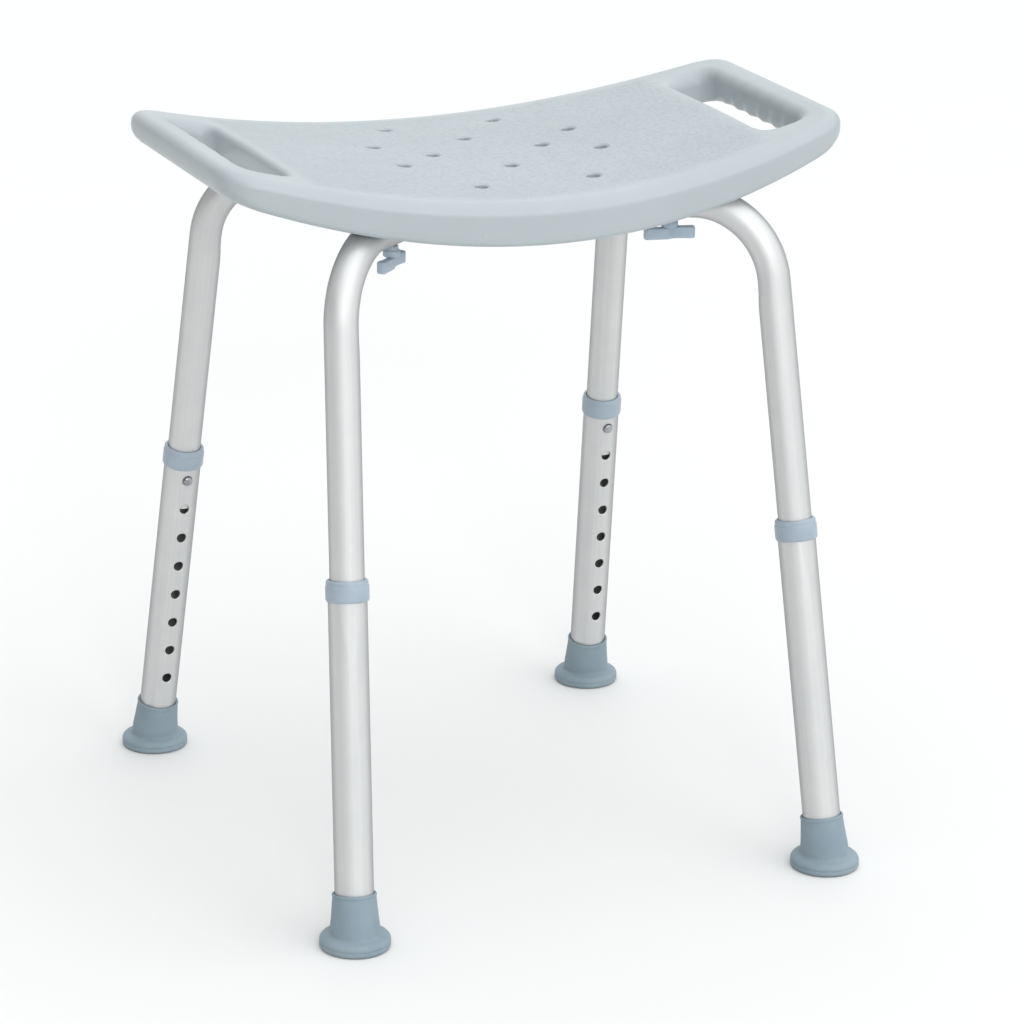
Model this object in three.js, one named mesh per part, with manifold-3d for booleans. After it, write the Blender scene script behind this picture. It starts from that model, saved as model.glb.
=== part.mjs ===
// Shower stool: a blow-moulded saddle seat on two crossed aluminium tubes,
// whose four lower legs slide on the tube ends and lock with snap buttons.
// Millimetres. X runs along the seat's long side, -Y is the front, +Z is up,
// and the origin is on the floor under the middle of the seat.
import * as THREE from "three";
import { mergeVertices } from "three/addons/utils/BufferGeometryUtils.js";
import Module from "manifold-3d";

const wasm = await Module();
wasm.setup();

// ---------------------------------------------------------------- dimensions

// Seat body
const SEAT_LENGTH = 498;
const SEAT_DEPTH_MIDDLE = 286;
const SEAT_DEPTH_ENDS = 213;
const SEAT_CORNER = 24;
const SEAT_LOW_Z = 519.7; // rim height at the middle of the long side
const SEAT_RISE = 39; // how much higher the two ends are
const SEAT_CROWN = 5; // front-to-back crown along the middle line
const THICKNESS_MIDDLE = 31;
const THICKNESS_ENDS = 23.5;
const TOP_EDGE_RADIUS = 9;
const BOTTOM_EDGE_RADIUS = 4;
const GRIP_TOP_RADIUS = 12; // the end bars are rounder, to be held
const GRIP_BOTTOM_RADIUS = 10;
const SKIN = 3; // wall of the hollow moulding

// Handles
const HANDLE_X = 207; // middle of each handle opening
const HANDLE_WIDTH = 35;
const HANDLE_LENGTH = 160;
const HANDLE_CORNER = 13;
const FINGER_PITCH = 21;
const FINGER_DEPTH = 2.2;
const FINGERS = 5;

// Drain holes: one quarter of the pattern, mirrored to the others
const DRAIN_RADIUS = 5;
const DRAINS = [
  [45, 91],
  [80, 29.5],
  [44.5, 0],
  [0, 43.5],
];
const DRAIN_WALL = 2.5; // wall of the tube that joins the two skins at a drain
const VENT_RADIUS = 3; // blow-pin hole in the underside
const VENT_Y = 104;

// Leg axes: where they meet the floor, and how they lean in on the way up
const FOOT_X = 193.2;
const FOOT_Y = 215.4;
const LEAN_X = 0.046;
const LEAN_Y = 0.177;

// Frame tubes
const TUBE_RADIUS = 12.7;
const TUBE_WALL = 1.2;
const RUN_Z = 497.5; // axis of the level run under the seat
const BEND_RADIUS = 64;
const TUBE_END = 219.6; // lower end, measured up the leg axis
const FLAT_HALF = 30; // half the length that is pressed flat at the crossing
const FLAT_BLEND = 32; // length over which the round section becomes flat
const FLAT_HALF_HEIGHT = 5.2;
const FLAT_HALF_WIDTH = 17;
const FLAT_OFFSET = 5.35; // one tube is pressed up, the other down

// Rivet at the crossing
const RIVET_RADIUS = 4;
const RIVET_HOLE_RADIUS = 4.4;
const RIVET_HEAD_RADIUS = 8;
const RIVET_HEAD_HEIGHT = 1.9;

// Fixing screws: a stud in a wing knob, up through the tube into a brass insert
const KNOB_REACH = 140; // distance of each screw from the crossing
const STUD_RADIUS = 3;
const STUD_HOLE_RADIUS = 3.6;
const INSERT_RADIUS = 4.6;
const INSERT_LENGTH = 12;
const INSERT_WALL = 3.4; // plastic round an insert
const WING_HALF_LENGTH = 19.5;
const WING_THICKNESS = 6.4;
const WING_TIP_RADIUS = 2;
const WING_OFFSET = 1.8; // each wing stands a little to its own side of the middle
const WING_LOW = 467.2;
const WING_HIGH = 476.2;
const HUB_RADIUS = 6;
const STUD_BOTTOM = WING_LOW + 3.3;

// Extension tubes, measured up the leg axis
const SLEEVE_RADIUS = 14.3;
const SLEEVE_WALL = 1.2;
const SLEEVE_BOTTOM = 11;
const SLEEVE_TOP = 266.9;
const TOP_HOLE = 245;
const HOLE_PITCH = 25.4;
const HOLE_COUNT = 8;
const HOLE_RADIUS = 4;
const BUTTON_RADIUS = 3.7;
const BUTTON_TIP = 16.9; // how far the button's dome reaches from the leg axis
const COLLAR_BOTTOM = 254;
const COLLAR_TOP = 269.6;
const COLLAR_RADIUS = 15.9;
const COLLAR_LIP_GAP = 0.35;

// Rubber feet
const PAD_RADIUS = 26.1;
const PAD_EDGE = 5.4; // height of the pad's upright edge, below its rounded shoulder
const PAD_HEIGHT = 9.4;
const SOLE_RADIUS = 24.9;
const SOCKET_BOTTOM = 5;
const SOCKET_LOW_RADIUS = 18.3;
const SOCKET_HIGH_RADIUS = 16;
const FOOT_BORE_BOTTOM = 9;
const FOOT_TOP = 39.6;
const WASHER_BORE = 4;
const WASHER_RADIUS = 13.9;

// Clearance between touching pieces
const GAP = 0.3;

const INSERT_BASE = RUN_Z + TUBE_RADIUS + GAP;

// Heights well below and above the seat, for cutters that go right through it
const BELOW = 440;
const ABOVE = 620;

const SIDES = 16; // sides of the round tubes and turned parts

// wing is the angle in plan at which each knob was left when it was tightened.
const CORNERS = [
  { name: "front_left", sx: -1, sy: -1, wing: 38 },
  { name: "front_right", sx: 1, sy: -1, wing: -17 },
  { name: "rear_left", sx: -1, sy: 1, wing: 64 },
  { name: "rear_right", sx: 1, sy: 1, wing: -41 },
];

// ----------------------------------------------------------------- materials

function finish(color, roughness, metalness) {
  return new THREE.MeshStandardMaterial({ color, roughness, metalness });
}

const seatPlastic = () => finish(0xc9d3d8, 0.55, 0);
const collarPlastic = () => finish(0xabbac8, 0.45, 0);
const knobPlastic = () => finish(0xa3b3bf, 0.5, 0);
const rubber = () => finish(0x879ba5, 0.75, 0);
const aluminium = () => finish(0xd4d5d6, 0.35, 1);
const steel = () => finish(0xb9bcc0, 0.28, 1);
const brass = () => finish(0xc2a25a, 0.35, 1);

// ------------------------------------------------------------ solid modelling

// A closed geometry as a manifold solid, turned the right way out.
function solid(geometry) {
  const bare = new THREE.BufferGeometry();
  const flat = geometry.index ? geometry.toNonIndexed() : geometry;
  bare.setAttribute("position", flat.getAttribute("position"));
  const merged = mergeVertices(bare, 1e-4);
  const triVerts = new Uint32Array(merged.index.array);
  const vertProperties = new Float32Array(merged.attributes.position.array);
  const made = new wasm.Manifold(new wasm.Mesh({ numProp: 3, vertProperties, triVerts }));
  if (made.volume() > 0) {
    return made;
  }
  for (let i = 0; i < triVerts.length; i += 3) {
    [triVerts[i], triVerts[i + 1]] = [triVerts[i + 1], triVerts[i]];
  }
  return new wasm.Manifold(new wasm.Mesh({ numProp: 3, vertProperties, triVerts }));
}

// A named mesh of a solid.
function part(name, body, material) {
  const { vertProperties, triVerts } = body.getMesh();
  const geometry = new THREE.BufferGeometry();
  geometry.setAttribute("position", new THREE.BufferAttribute(vertProperties, 3));
  geometry.setIndex(new THREE.BufferAttribute(triVerts, 1));
  geometry.computeVertexNormals();
  const mesh = new THREE.Mesh(geometry, material);
  mesh.name = name;
  return mesh;
}

function cutAll(body, tools) {
  return tools.reduce((left, tool) => left.subtract(tool), body);
}

// A solid of revolution about Z from [radius, height] pairs.
function turned(pairs, sides = SIDES) {
  const points = pairs.map(([r, z]) => new THREE.Vector2(r, z));
  return new THREE.LatheGeometry(points, sides).rotateX(Math.PI / 2);
}

// A ring of rectangular section about Z.
function ring(inner, outer, low, high, sides = SIDES) {
  return turned([[inner, low], [outer, low], [outer, high], [inner, high], [inner, low]], sides);
}

// An upright round bar between two heights.
function bar(x, y, radius, low, high, sides = 16) {
  const geometry = new THREE.CylinderGeometry(radius, radius, high - low, sides);
  return geometry.rotateX(Math.PI / 2).translate(x, y, (low + high) / 2);
}

// An upright prism of a plan shape between two heights.
function prism(shape, low, high, curveSegments = 6) {
  const settings = { depth: high - low, bevelEnabled: false, curveSegments };
  return new THREE.ExtrudeGeometry(shape, settings).translate(0, 0, low);
}

// ----------------------------------------------------------------- leg frames

function legDirection({ sx, sy }) {
  return new THREE.Vector3(-sx * LEAN_X, -sy * LEAN_Y, 1).normalize();
}

// Turns the leg's own frame into place: its Z runs up the leg, and its -Y looks
// towards the middle of the stool, where the buttons are.
function legTurn(corner) {
  const tilt = new THREE.Quaternion();
  tilt.setFromUnitVectors(new THREE.Vector3(0, 0, 1), legDirection(corner));
  const half = new THREE.Quaternion();
  half.setFromAxisAngle(new THREE.Vector3(0, 0, 1), corner.sy < 0 ? Math.PI : 0);
  return tilt.multiply(half);
}

function legOrigin({ sx, sy }) {
  return new THREE.Vector3(sx * FOOT_X, sy * FOOT_Y, 0);
}

function legMatrix(corner) {
  return new THREE.Matrix4().compose(legOrigin(corner), legTurn(corner), new THREE.Vector3(1, 1, 1));
}

// Where a leg axis, carried on upwards, meets the level run.
function runCorner({ sx, sy }) {
  return new THREE.Vector3(sx * (FOOT_X - LEAN_X * RUN_Z), sy * (FOOT_Y - LEAN_Y * RUN_Z), RUN_Z);
}

// Horizontal unit vector from the crossing out to a corner.
function runDirection(corner) {
  return runCorner(corner).setZ(0).normalize();
}

// The screw position under the seat at a corner.
function knobPlace(corner) {
  return runDirection(corner).multiplyScalar(KNOB_REACH);
}

// ---------------------------------------------------------------- frame tubes

// A path through chosen stations, so that rings of the sweep lie only where the
// tube bends or changes section.
class StationPath extends THREE.Curve {
  constructor(stations) {
    super();
    this.stations = stations;
  }

  at(u) {
    return this.stations[Math.round(u * (this.stations.length - 1))];
  }

  getPointAt(u) {
    return this.at(u).point.clone();
  }

  getTangentAt(u) {
    return this.at(u).tangent.clone();
  }
}

// Stations of one half of a tube, from the crossing out to the leg's lower end.
function halfStations(corner) {
  const blendSteps = 4;
  const bendSteps = 7;
  const out = runDirection(corner);
  const down = legDirection(corner).negate();
  const turn = out.angleTo(down);
  const reach = runCorner(corner).setZ(0).length() - BEND_RADIUS * Math.tan(turn / 2);
  const level = (distance) => out.clone().multiplyScalar(distance).setZ(RUN_Z);
  const stations = [];
  for (let i = 0; i <= blendSteps; i += 1) {
    const distance = FLAT_HALF + (FLAT_BLEND * i) / blendSteps;
    stations.push({ point: level(distance), tangent: out.clone() });
  }
  const inward = down.clone().addScaledVector(out, -down.dot(out)).normalize();
  const start = level(reach);
  for (let i = 0; i <= bendSteps; i += 1) {
    const angle = (turn * i) / bendSteps;
    const point = start.clone();
    point.addScaledVector(out, BEND_RADIUS * Math.sin(angle));
    point.addScaledVector(inward, BEND_RADIUS * (1 - Math.cos(angle)));
    const tangent = out.clone().multiplyScalar(Math.cos(angle));
    tangent.addScaledVector(inward, Math.sin(angle));
    stations.push({ point, tangent });
  }
  const end = legOrigin(corner).addScaledVector(legDirection(corner), TUBE_END);
  stations.push({ point: end, tangent: down });
  return stations;
}

// The whole run from one corner's leg to the opposite corner's leg.
function tubePath(from, to) {
  const first = halfStations(from).reverse();
  first.forEach((station) => station.tangent.negate());
  return new StationPath([...first, ...halfStations(to)]);
}

// Presses a swept tube flat where it crosses the other one.
function pressFlat(geometry, corner, side) {
  const along = runDirection(corner);
  const across = new THREE.Vector3(-along.y, along.x, 0);
  const position = geometry.getAttribute("position");
  const vertex = new THREE.Vector3();
  for (let i = 0; i < position.count; i += 1) {
    vertex.fromBufferAttribute(position, i);
    const distance = vertex.dot(along);
    const round = THREE.MathUtils.smoothstep(Math.abs(distance), FLAT_HALF, FLAT_HALF + FLAT_BLEND);
    if (round === 1) {
      continue;
    }
    const wide = vertex.dot(across);
    const high = vertex.z - RUN_Z;
    const radius = Math.hypot(wide, high);
    const inset = TUBE_RADIUS - radius;
    const wider = THREE.MathUtils.lerp((FLAT_HALF_WIDTH - inset) / radius, 1, round);
    const lower = THREE.MathUtils.lerp((FLAT_HALF_HEIGHT - inset) / radius, 1, round);
    vertex.copy(along).multiplyScalar(distance).addScaledVector(across, wide * wider);
    vertex.z = RUN_Z + high * lower + side * FLAT_OFFSET * (1 - round);
    position.setXYZ(i, vertex.x, vertex.y, vertex.z);
  }
  return geometry;
}

function tubeSection() {
  const shape = new THREE.Shape();
  const hole = new THREE.Path();
  const circle = (target, radius) => {
    const points = [];
    for (let i = 0; i < SIDES; i += 1) {
      const angle = (2 * Math.PI * i) / SIDES;
      points.push(new THREE.Vector2(radius * Math.cos(angle), radius * Math.sin(angle)));
    }
    target.setFromPoints(points);
  };
  circle(shape, TUBE_RADIUS);
  circle(hole, TUBE_RADIUS - TUBE_WALL);
  shape.holes.push(hole);
  return shape;
}

// The round cutter of a button hole: it reaches from the leg axis out through
// the side that looks inwards.
function buttonCutter(height, radius) {
  const length = 20;
  const cutter = new THREE.CylinderGeometry(radius, radius, length, 10);
  return cutter.translate(0, -length / 2, height);
}

// One frame tube, from one corner's leg through the crossing to the opposite
// corner's leg, drilled for the rivet, the screws and the snap buttons.
function frameTube(name, from, to, side) {
  const path = tubePath(from, to);
  const settings = { steps: path.stations.length - 1, extrudePath: path, bevelEnabled: false };
  const swept = new THREE.ExtrudeGeometry(tubeSection(), settings);
  const cutters = [solid(bar(0, 0, RIVET_HOLE_RADIUS, BELOW, ABOVE))];
  for (const corner of [from, to]) {
    const place = knobPlace(corner);
    cutters.push(solid(bar(place.x, place.y, STUD_HOLE_RADIUS, BELOW, ABOVE, 12)));
    cutters.push(solid(buttonCutter(TOP_HOLE, HOLE_RADIUS).applyMatrix4(legMatrix(corner))));
  }
  return part(name, cutAll(solid(pressFlat(swept, to, side)), cutters), aluminium());
}

// The rivet that holds the two tubes together where they cross.
function crossRivet() {
  const reach = FLAT_OFFSET + FLAT_HALF_HEIGHT + GAP;
  const half = [
    [RIVET_RADIUS, reach],
    [RIVET_HEAD_RADIUS, reach],
    [RIVET_HEAD_RADIUS - 0.2, reach + 0.8],
    [RIVET_HEAD_RADIUS - 3, reach + RIVET_HEAD_HEIGHT - 0.2],
    [0, reach + RIVET_HEAD_HEIGHT],
  ];
  const upper = half.map(([r, z]) => [r, RUN_Z + z]);
  const lower = half.map(([r, z]) => [r, RUN_Z - z]).reverse();
  return part("cross_rivet", solid(turned([...lower, ...upper])), steel());
}

// ----------------------------------------------------------------------- seat

function saddle(x) {
  return SEAT_LOW_Z + SEAT_RISE * (2 * x / SEAT_LENGTH) ** 2;
}

function edgeDepth(x) {
  const bow = (SEAT_DEPTH_MIDDLE - SEAT_DEPTH_ENDS) / 2;
  return SEAT_DEPTH_MIDDLE / 2 - bow * (2 * x / SEAT_LENGTH) ** 2;
}

function topSurface(x, y) {
  const across = Math.min(1, Math.abs(y) / edgeDepth(x));
  const along = Math.min(1, Math.abs(2 * x) / SEAT_LENGTH);
  return saddle(x) + SEAT_CROWN * (1 - across ** 2) * (1 - along ** 2);
}

function bottomSurface(x) {
  const thinner = THICKNESS_MIDDLE - THICKNESS_ENDS;
  return saddle(x) - THICKNESS_MIDDLE + thinner * (2 * x / SEAT_LENGTH) ** 2;
}

// The seat's plan outline, moved in by an even distance: bowed long sides,
// rounded corners and straight ends.
function seatOutline(inset, { longSteps, cornerSteps, endSteps }) {
  const halfX = SEAT_LENGTH / 2 - inset;
  const radius = Math.max(SEAT_CORNER - inset, 4);
  const cornerX = halfX - radius;
  const middleY = edgeDepth(0) - inset;
  const cornerY = edgeDepth(cornerX) - inset;
  const slope = (4 * (SEAT_DEPTH_MIDDLE - SEAT_DEPTH_ENDS) * cornerX) / SEAT_LENGTH ** 2;
  const tangentY = cornerY - slope * radius;
  const endY = tangentY - radius;
  const loop = [];
  for (const s of [-1, 1]) {
    const at = (x, y) => new THREE.Vector2(s * x, s * y);
    const long = [at(cornerX, cornerY), at(0, 2 * middleY - cornerY), at(-cornerX, cornerY)];
    const last = [at(-cornerX, cornerY), at(-halfX, tangentY), at(-halfX, endY)];
    const next = [at(-halfX, -endY), at(-halfX, -tangentY), at(-cornerX, -cornerY)];
    loop.push(...new THREE.QuadraticBezierCurve(...long).getPoints(longSteps).slice(0, -1));
    loop.push(...new THREE.QuadraticBezierCurve(...last).getPoints(cornerSteps).slice(0, -1));
    loop.push(...new THREE.LineCurve(last[2], next[0]).getPoints(endSteps).slice(0, -1));
    loop.push(...new THREE.QuadraticBezierCurve(...next).getPoints(cornerSteps).slice(0, -1));
  }
  return loop;
}

// A closed skin over a stack of rings with equal numbers of points, whose first
// and last rings close on their own middles.
function loft(rings) {
  const count = rings[0].length;
  const points = rings.flat();
  const middle = (loop) => {
    const sum = loop.reduce((total, p) => total.add(p), new THREE.Vector3());
    return sum.divideScalar(loop.length);
  };
  const index = [];
  for (let r = 0; r + 1 < rings.length; r += 1) {
    for (let i = 0; i < count; i += 1) {
      const a = r * count + i;
      const b = r * count + ((i + 1) % count);
      index.push(a, b, b + count, a, b + count, a + count);
    }
  }
  const first = points.length;
  points.push(middle(rings[0]), middle(rings.at(-1)));
  for (let i = 0; i < count; i += 1) {
    const next = (i + 1) % count;
    index.push(first, next, i);
    index.push(first + 1, (rings.length - 1) * count + i, (rings.length - 1) * count + next);
  }
  const geometry = new THREE.BufferGeometry().setFromPoints(points);
  geometry.setIndex(index);
  return geometry;
}

// The seat's rounded slab: crowned top, rounded edge, side wall and underside.
function seatSlab() {
  const detail = { longSteps: 16, cornerSteps: 4, endSteps: 3 };
  const rim = seatOutline(0, detail);
  const inner = seatOutline(TOP_EDGE_RADIUS, detail);
  const grip = rim.map((p) => {
    const start = SEAT_LENGTH / 2 - SEAT_CORNER;
    return THREE.MathUtils.smoothstep(Math.abs(p.x), start, SEAT_LENGTH / 2);
  });
  const rings = [];
  const addRing = (side, angle, scale, surface) => {
    rings.push(rim.map((p, i) => {
      const radius = THREE.MathUtils.lerp(...side, grip[i]);
      const inset = radius * (1 - Math.cos(angle));
      const drop = radius * (1 - Math.sin(angle));
      const q = p.clone().lerp(inner[i], inset / TOP_EDGE_RADIUS).multiplyScalar(scale);
      return new THREE.Vector3(q.x, q.y, surface(q.x, q.y, drop));
    }));
  };
  const topSide = [TOP_EDGE_RADIUS, GRIP_TOP_RADIUS];
  const bottomSide = [BOTTOM_EDGE_RADIUS, GRIP_BOTTOM_RADIUS];
  const top = (x, y, drop) => topSurface(x, y) - drop;
  const bottom = (x, y, drop) => bottomSurface(x) + drop;
  const quarter = Math.PI / 2;
  for (const scale of [0.25, 0.5, 0.75]) {
    addRing(topSide, quarter, scale, top);
  }
  for (const share of [1, 0.67, 0.33, 0]) {
    addRing(topSide, quarter * share, 1, top);
  }
  for (const share of [0, 0.5, 1]) {
    addRing(bottomSide, quarter * share, 1, bottom);
  }
  for (const scale of [0.75, 0.5, 0.25]) {
    addRing(bottomSide, quarter, scale, bottom);
  }
  return solid(loft(rings));
}

// The hollow inside the moulding, one skin in from the slab.
function seatHollow() {
  const detail = { longSteps: 8, cornerSteps: 2, endSteps: 2 };
  const rings = [];
  const addRing = (inset, scale, surface) => {
    rings.push(seatOutline(inset, detail).map((p) => {
      const q = p.clone().multiplyScalar(scale);
      return new THREE.Vector3(q.x, q.y, surface(q.x, q.y));
    }));
  };
  const top = (x, y) => topSurface(x, y) - SKIN;
  const bottom = (x) => bottomSurface(x) + SKIN;
  for (const scale of [0.35, 0.7, 1]) {
    addRing(GRIP_TOP_RADIUS, scale, top);
  }
  addRing(SKIN, 1, (x, y) => top(x, y) - TOP_EDGE_RADIUS + SKIN);
  addRing(SKIN, 1, (x) => bottom(x) + BOTTOM_EDGE_RADIUS);
  for (const scale of [1, 0.7, 0.35]) {
    addRing(GRIP_BOTTOM_RADIUS, scale, bottom);
  }
  return solid(loft(rings));
}

// One handle opening in plan: a rounded slot whose outer side has shallow finger
// hollows in the grip bar.
function handleShape(side, grow) {
  const inner = HANDLE_X - HANDLE_WIDTH / 2 - grow;
  const outer = HANDLE_X + HANDLE_WIDTH / 2 + grow;
  const half = HANDLE_LENGTH / 2 + grow;
  const radius = HANDLE_CORNER + grow;
  const shape = new THREE.Shape();
  shape.moveTo(outer - radius, -half);
  shape.absarc(outer - radius, -half + radius, radius, -Math.PI / 2, 0);
  if (!grow) {
    const gripHalf = (FINGERS * FINGER_PITCH) / 2;
    const steps = FINGERS * 4;
    for (let i = 0; i <= steps; i += 1) {
      const y = -gripHalf + (2 * gripHalf * i) / steps;
      const wave = 0.5 + 0.5 * Math.cos((2 * Math.PI * y) / FINGER_PITCH);
      shape.lineTo(outer - FINGER_DEPTH * (1 - wave), y);
    }
  }
  shape.absarc(outer - radius, half - radius, radius, 0, Math.PI / 2);
  shape.absarc(inner + radius, half - radius, radius, Math.PI / 2, Math.PI);
  shape.absarc(inner + radius, -half + radius, radius, Math.PI, 1.5 * Math.PI);
  if (side > 0) {
    return shape;
  }
  return new THREE.Shape(shape.getPoints(5).map((p) => new THREE.Vector2(-p.x, p.y)));
}

// The crossed channels in the underside that the frame tubes lie in.
function channels(grow) {
  const ceiling = RUN_Z + TUBE_RADIUS + GAP + grow;
  const beyondKnobs = 50;
  const rivetRoom = 2.2;
  const widths = [
    [2 * (KNOB_REACH + beyondKnobs + grow), TUBE_RADIUS + GAP + grow],
    [2 * (FLAT_HALF + FLAT_BLEND + 2 + grow), FLAT_HALF_WIDTH + GAP + grow],
  ];
  const boxes = [];
  for (const corner of [CORNERS[2], CORNERS[3]]) {
    const angle = Math.atan2(runDirection(corner).y, runDirection(corner).x);
    for (const [length, halfWidth] of widths) {
      const box = new THREE.BoxGeometry(length, 2 * halfWidth, ceiling - BELOW);
      boxes.push(solid(box.rotateZ(angle).translate(0, 0, (ceiling + BELOW) / 2)));
    }
  }
  boxes.push(solid(bar(0, 0, RIVET_HEAD_RADIUS + 2 + grow, BELOW, ceiling + rivetRoom)));
  return boxes;
}

// All twelve drain holes, mirrored from the one quarter.
function drainPlaces() {
  const places = [];
  for (const [x, y] of DRAINS) {
    for (const sx of x ? [-1, 1] : [1]) {
      for (const sy of y ? [-1, 1] : [1]) {
        places.push([sx * x, sy * y]);
      }
    }
  }
  return places;
}

function seat() {
  const inserts = CORNERS.map(knobPlace);
  const handles = (grow) => [-1, 1].map((side) => solid(prism(handleShape(side, grow), BELOW, ABOVE)));
  const drains = (radius, sides) =>
    drainPlaces().map(([x, y]) => solid(bar(x, y, radius, BELOW, ABOVE, sides)));
  const bosses = inserts.map((p) => solid(bar(p.x, p.y, INSERT_RADIUS + INSERT_WALL, BELOW, ABOVE, 12)));
  const pocketTop = INSERT_BASE + INSERT_LENGTH + GAP;
  const pockets = inserts.map((p) => solid(bar(p.x, p.y, INSERT_RADIUS + GAP, RUN_Z, pocketTop, 12)));
  const vent = solid(bar(0, VENT_Y, VENT_RADIUS, BELOW, bottomSurface(0) + 2 * SKIN, 10));
  const keptSolid = [...channels(SKIN), ...handles(SKIN), ...drains(DRAIN_RADIUS + DRAIN_WALL, 8), ...bosses];
  const hollow = cutAll(seatHollow(), keptSolid);
  const openings = [hollow, ...channels(0), ...handles(0), ...drains(DRAIN_RADIUS, 12), ...pockets, vent];
  return part("seat", cutAll(seatSlab(), openings), seatPlastic());
}

// --------------------------------------------------------------- seat fixings

// The knob's plan shape: two offset paddles with rounded tips.
function wingShape() {
  const low = WING_OFFSET - WING_THICKNESS / 2;
  const high = WING_OFFSET + WING_THICKNESS / 2;
  const round = WING_TIP_RADIUS;
  const tip = WING_HALF_LENGTH - round;
  const root = HUB_RADIUS - 1;
  const shape = new THREE.Shape();
  shape.moveTo(-root, low);
  shape.lineTo(tip, low);
  shape.absarc(tip, low + round, round, -Math.PI / 2, 0);
  shape.absarc(tip, high - round, round, 0, Math.PI / 2);
  shape.lineTo(root, high);
  shape.lineTo(root, -low);
  shape.lineTo(-tip, -low);
  shape.absarc(-tip, -low - round, round, Math.PI / 2, Math.PI);
  shape.absarc(-tip, -high + round, round, Math.PI, 1.5 * Math.PI);
  shape.lineTo(-root, -high);
  return shape;
}

// The wing knob: two paddles on a short hub under the tube.
function wingKnob(corner) {
  const angle = THREE.MathUtils.degToRad(corner.wing);
  const wing = solid(prism(wingShape(), WING_LOW, WING_HIGH, 3).rotateZ(angle));
  const hubTop = RUN_Z - TUBE_RADIUS - GAP;
  const hub = solid(bar(0, 0, HUB_RADIUS, WING_LOW + 1, hubTop));
  const bore = solid(bar(0, 0, STUD_RADIUS + GAP, STUD_BOTTOM - GAP, hubTop + 5, 12));
  const mesh = part(`wing_knob_${corner.name}`, wing.add(hub).subtract(bore), knobPlastic());
  mesh.position.copy(knobPlace(corner));
  return mesh;
}

// The threaded stud held in the knob.
function knobStud(corner) {
  const top = INSERT_BASE + INSERT_LENGTH - 1;
  const mesh = part(`knob_stud_${corner.name}`, solid(bar(0, 0, STUD_RADIUS, STUD_BOTTOM, top, 12)), steel());
  mesh.position.copy(knobPlace(corner));
  return mesh;
}

// The brass nut moulded into the seat above each screw.
function seatInsert(corner) {
  const nut = ring(STUD_RADIUS + GAP, INSERT_RADIUS, INSERT_BASE, INSERT_BASE + INSERT_LENGTH, 12);
  const mesh = part(`seat_insert_${corner.name}`, solid(nut), brass());
  mesh.position.copy(knobPlace(corner));
  return mesh;
}

// -------------------------------------------------- legs, in their own frames

// The outer tube of a leg, with the row of button holes on its inward side.
function extensionTube(name) {
  const wall = solid(ring(SLEEVE_RADIUS - SLEEVE_WALL, SLEEVE_RADIUS, SLEEVE_BOTTOM, SLEEVE_TOP));
  const holes = [];
  for (let i = 0; i < HOLE_COUNT; i += 1) {
    holes.push(solid(buttonCutter(TOP_HOLE - i * HOLE_PITCH, HOLE_RADIUS)));
  }
  return part(`extension_tube_${name}`, cutAll(wall, holes), aluminium());
}

// The plastic collar on the extension's top end, with a lip that steadies the
// inner tube.
function collar(name) {
  const bore = SLEEVE_RADIUS + GAP;
  const lip = TUBE_RADIUS + COLLAR_LIP_GAP;
  const profile = [
    [bore, COLLAR_BOTTOM],
    [COLLAR_RADIUS - 0.5, COLLAR_BOTTOM],
    [COLLAR_RADIUS, COLLAR_BOTTOM + 1],
    [COLLAR_RADIUS, COLLAR_TOP - 5],
    [COLLAR_RADIUS - 0.6, COLLAR_TOP - 2],
    [COLLAR_RADIUS - 1.9, COLLAR_TOP],
    [lip, COLLAR_TOP],
    [lip, SLEEVE_TOP + GAP],
    [bore, SLEEVE_TOP + GAP],
    [bore, COLLAR_BOTTOM],
  ];
  return part(`collar_${name}`, solid(turned(profile)), collarPlastic());
}

// A domed pin with a shoulder that stops it inside the tube.
function snapButton(name) {
  const profile = [
    [0, -8.8],
    [BUTTON_RADIUS + 1.1, -8.8],
    [BUTTON_RADIUS + 1.1, -9.6],
    [BUTTON_RADIUS, -9.6],
    [BUTTON_RADIUS, -BUTTON_TIP + 2],
    [BUTTON_RADIUS - 0.6, -BUTTON_TIP + 0.9],
    [BUTTON_RADIUS / 2, -BUTTON_TIP + 0.2],
    [0, -BUTTON_TIP],
  ];
  const points = profile.map(([r, y]) => new THREE.Vector2(r, y));
  const mesh = part(`snap_button_${name}`, solid(new THREE.LatheGeometry(points, 12)), steel());
  mesh.position.z = TOP_HOLE;
  return mesh;
}

// The folded leaf spring behind the button: its long arm presses the far wall.
function buttonSpring(name) {
  const outline = [
    [-8.4, -9],
    [-8.4, 8],
    [-1.6, 46],
    [1.6, 46],
    [10.3, -4],
    [9.6, -4],
    [1, 44.8],
    [-1, 44.8],
    [-7.7, 8],
    [-7.7, -9],
  ];
  const width = 7;
  const shape = new THREE.Shape(outline.map(([y, z]) => new THREE.Vector2(y, z)));
  const leaf = new THREE.ExtrudeGeometry(shape, { depth: width, bevelEnabled: false });
  leaf.translate(0, 0, -width / 2).rotateX(Math.PI / 2).rotateZ(Math.PI / 2);
  const mesh = part(`button_spring_${name}`, solid(leaf), steel());
  mesh.position.z = TOP_HOLE;
  return mesh;
}

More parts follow.
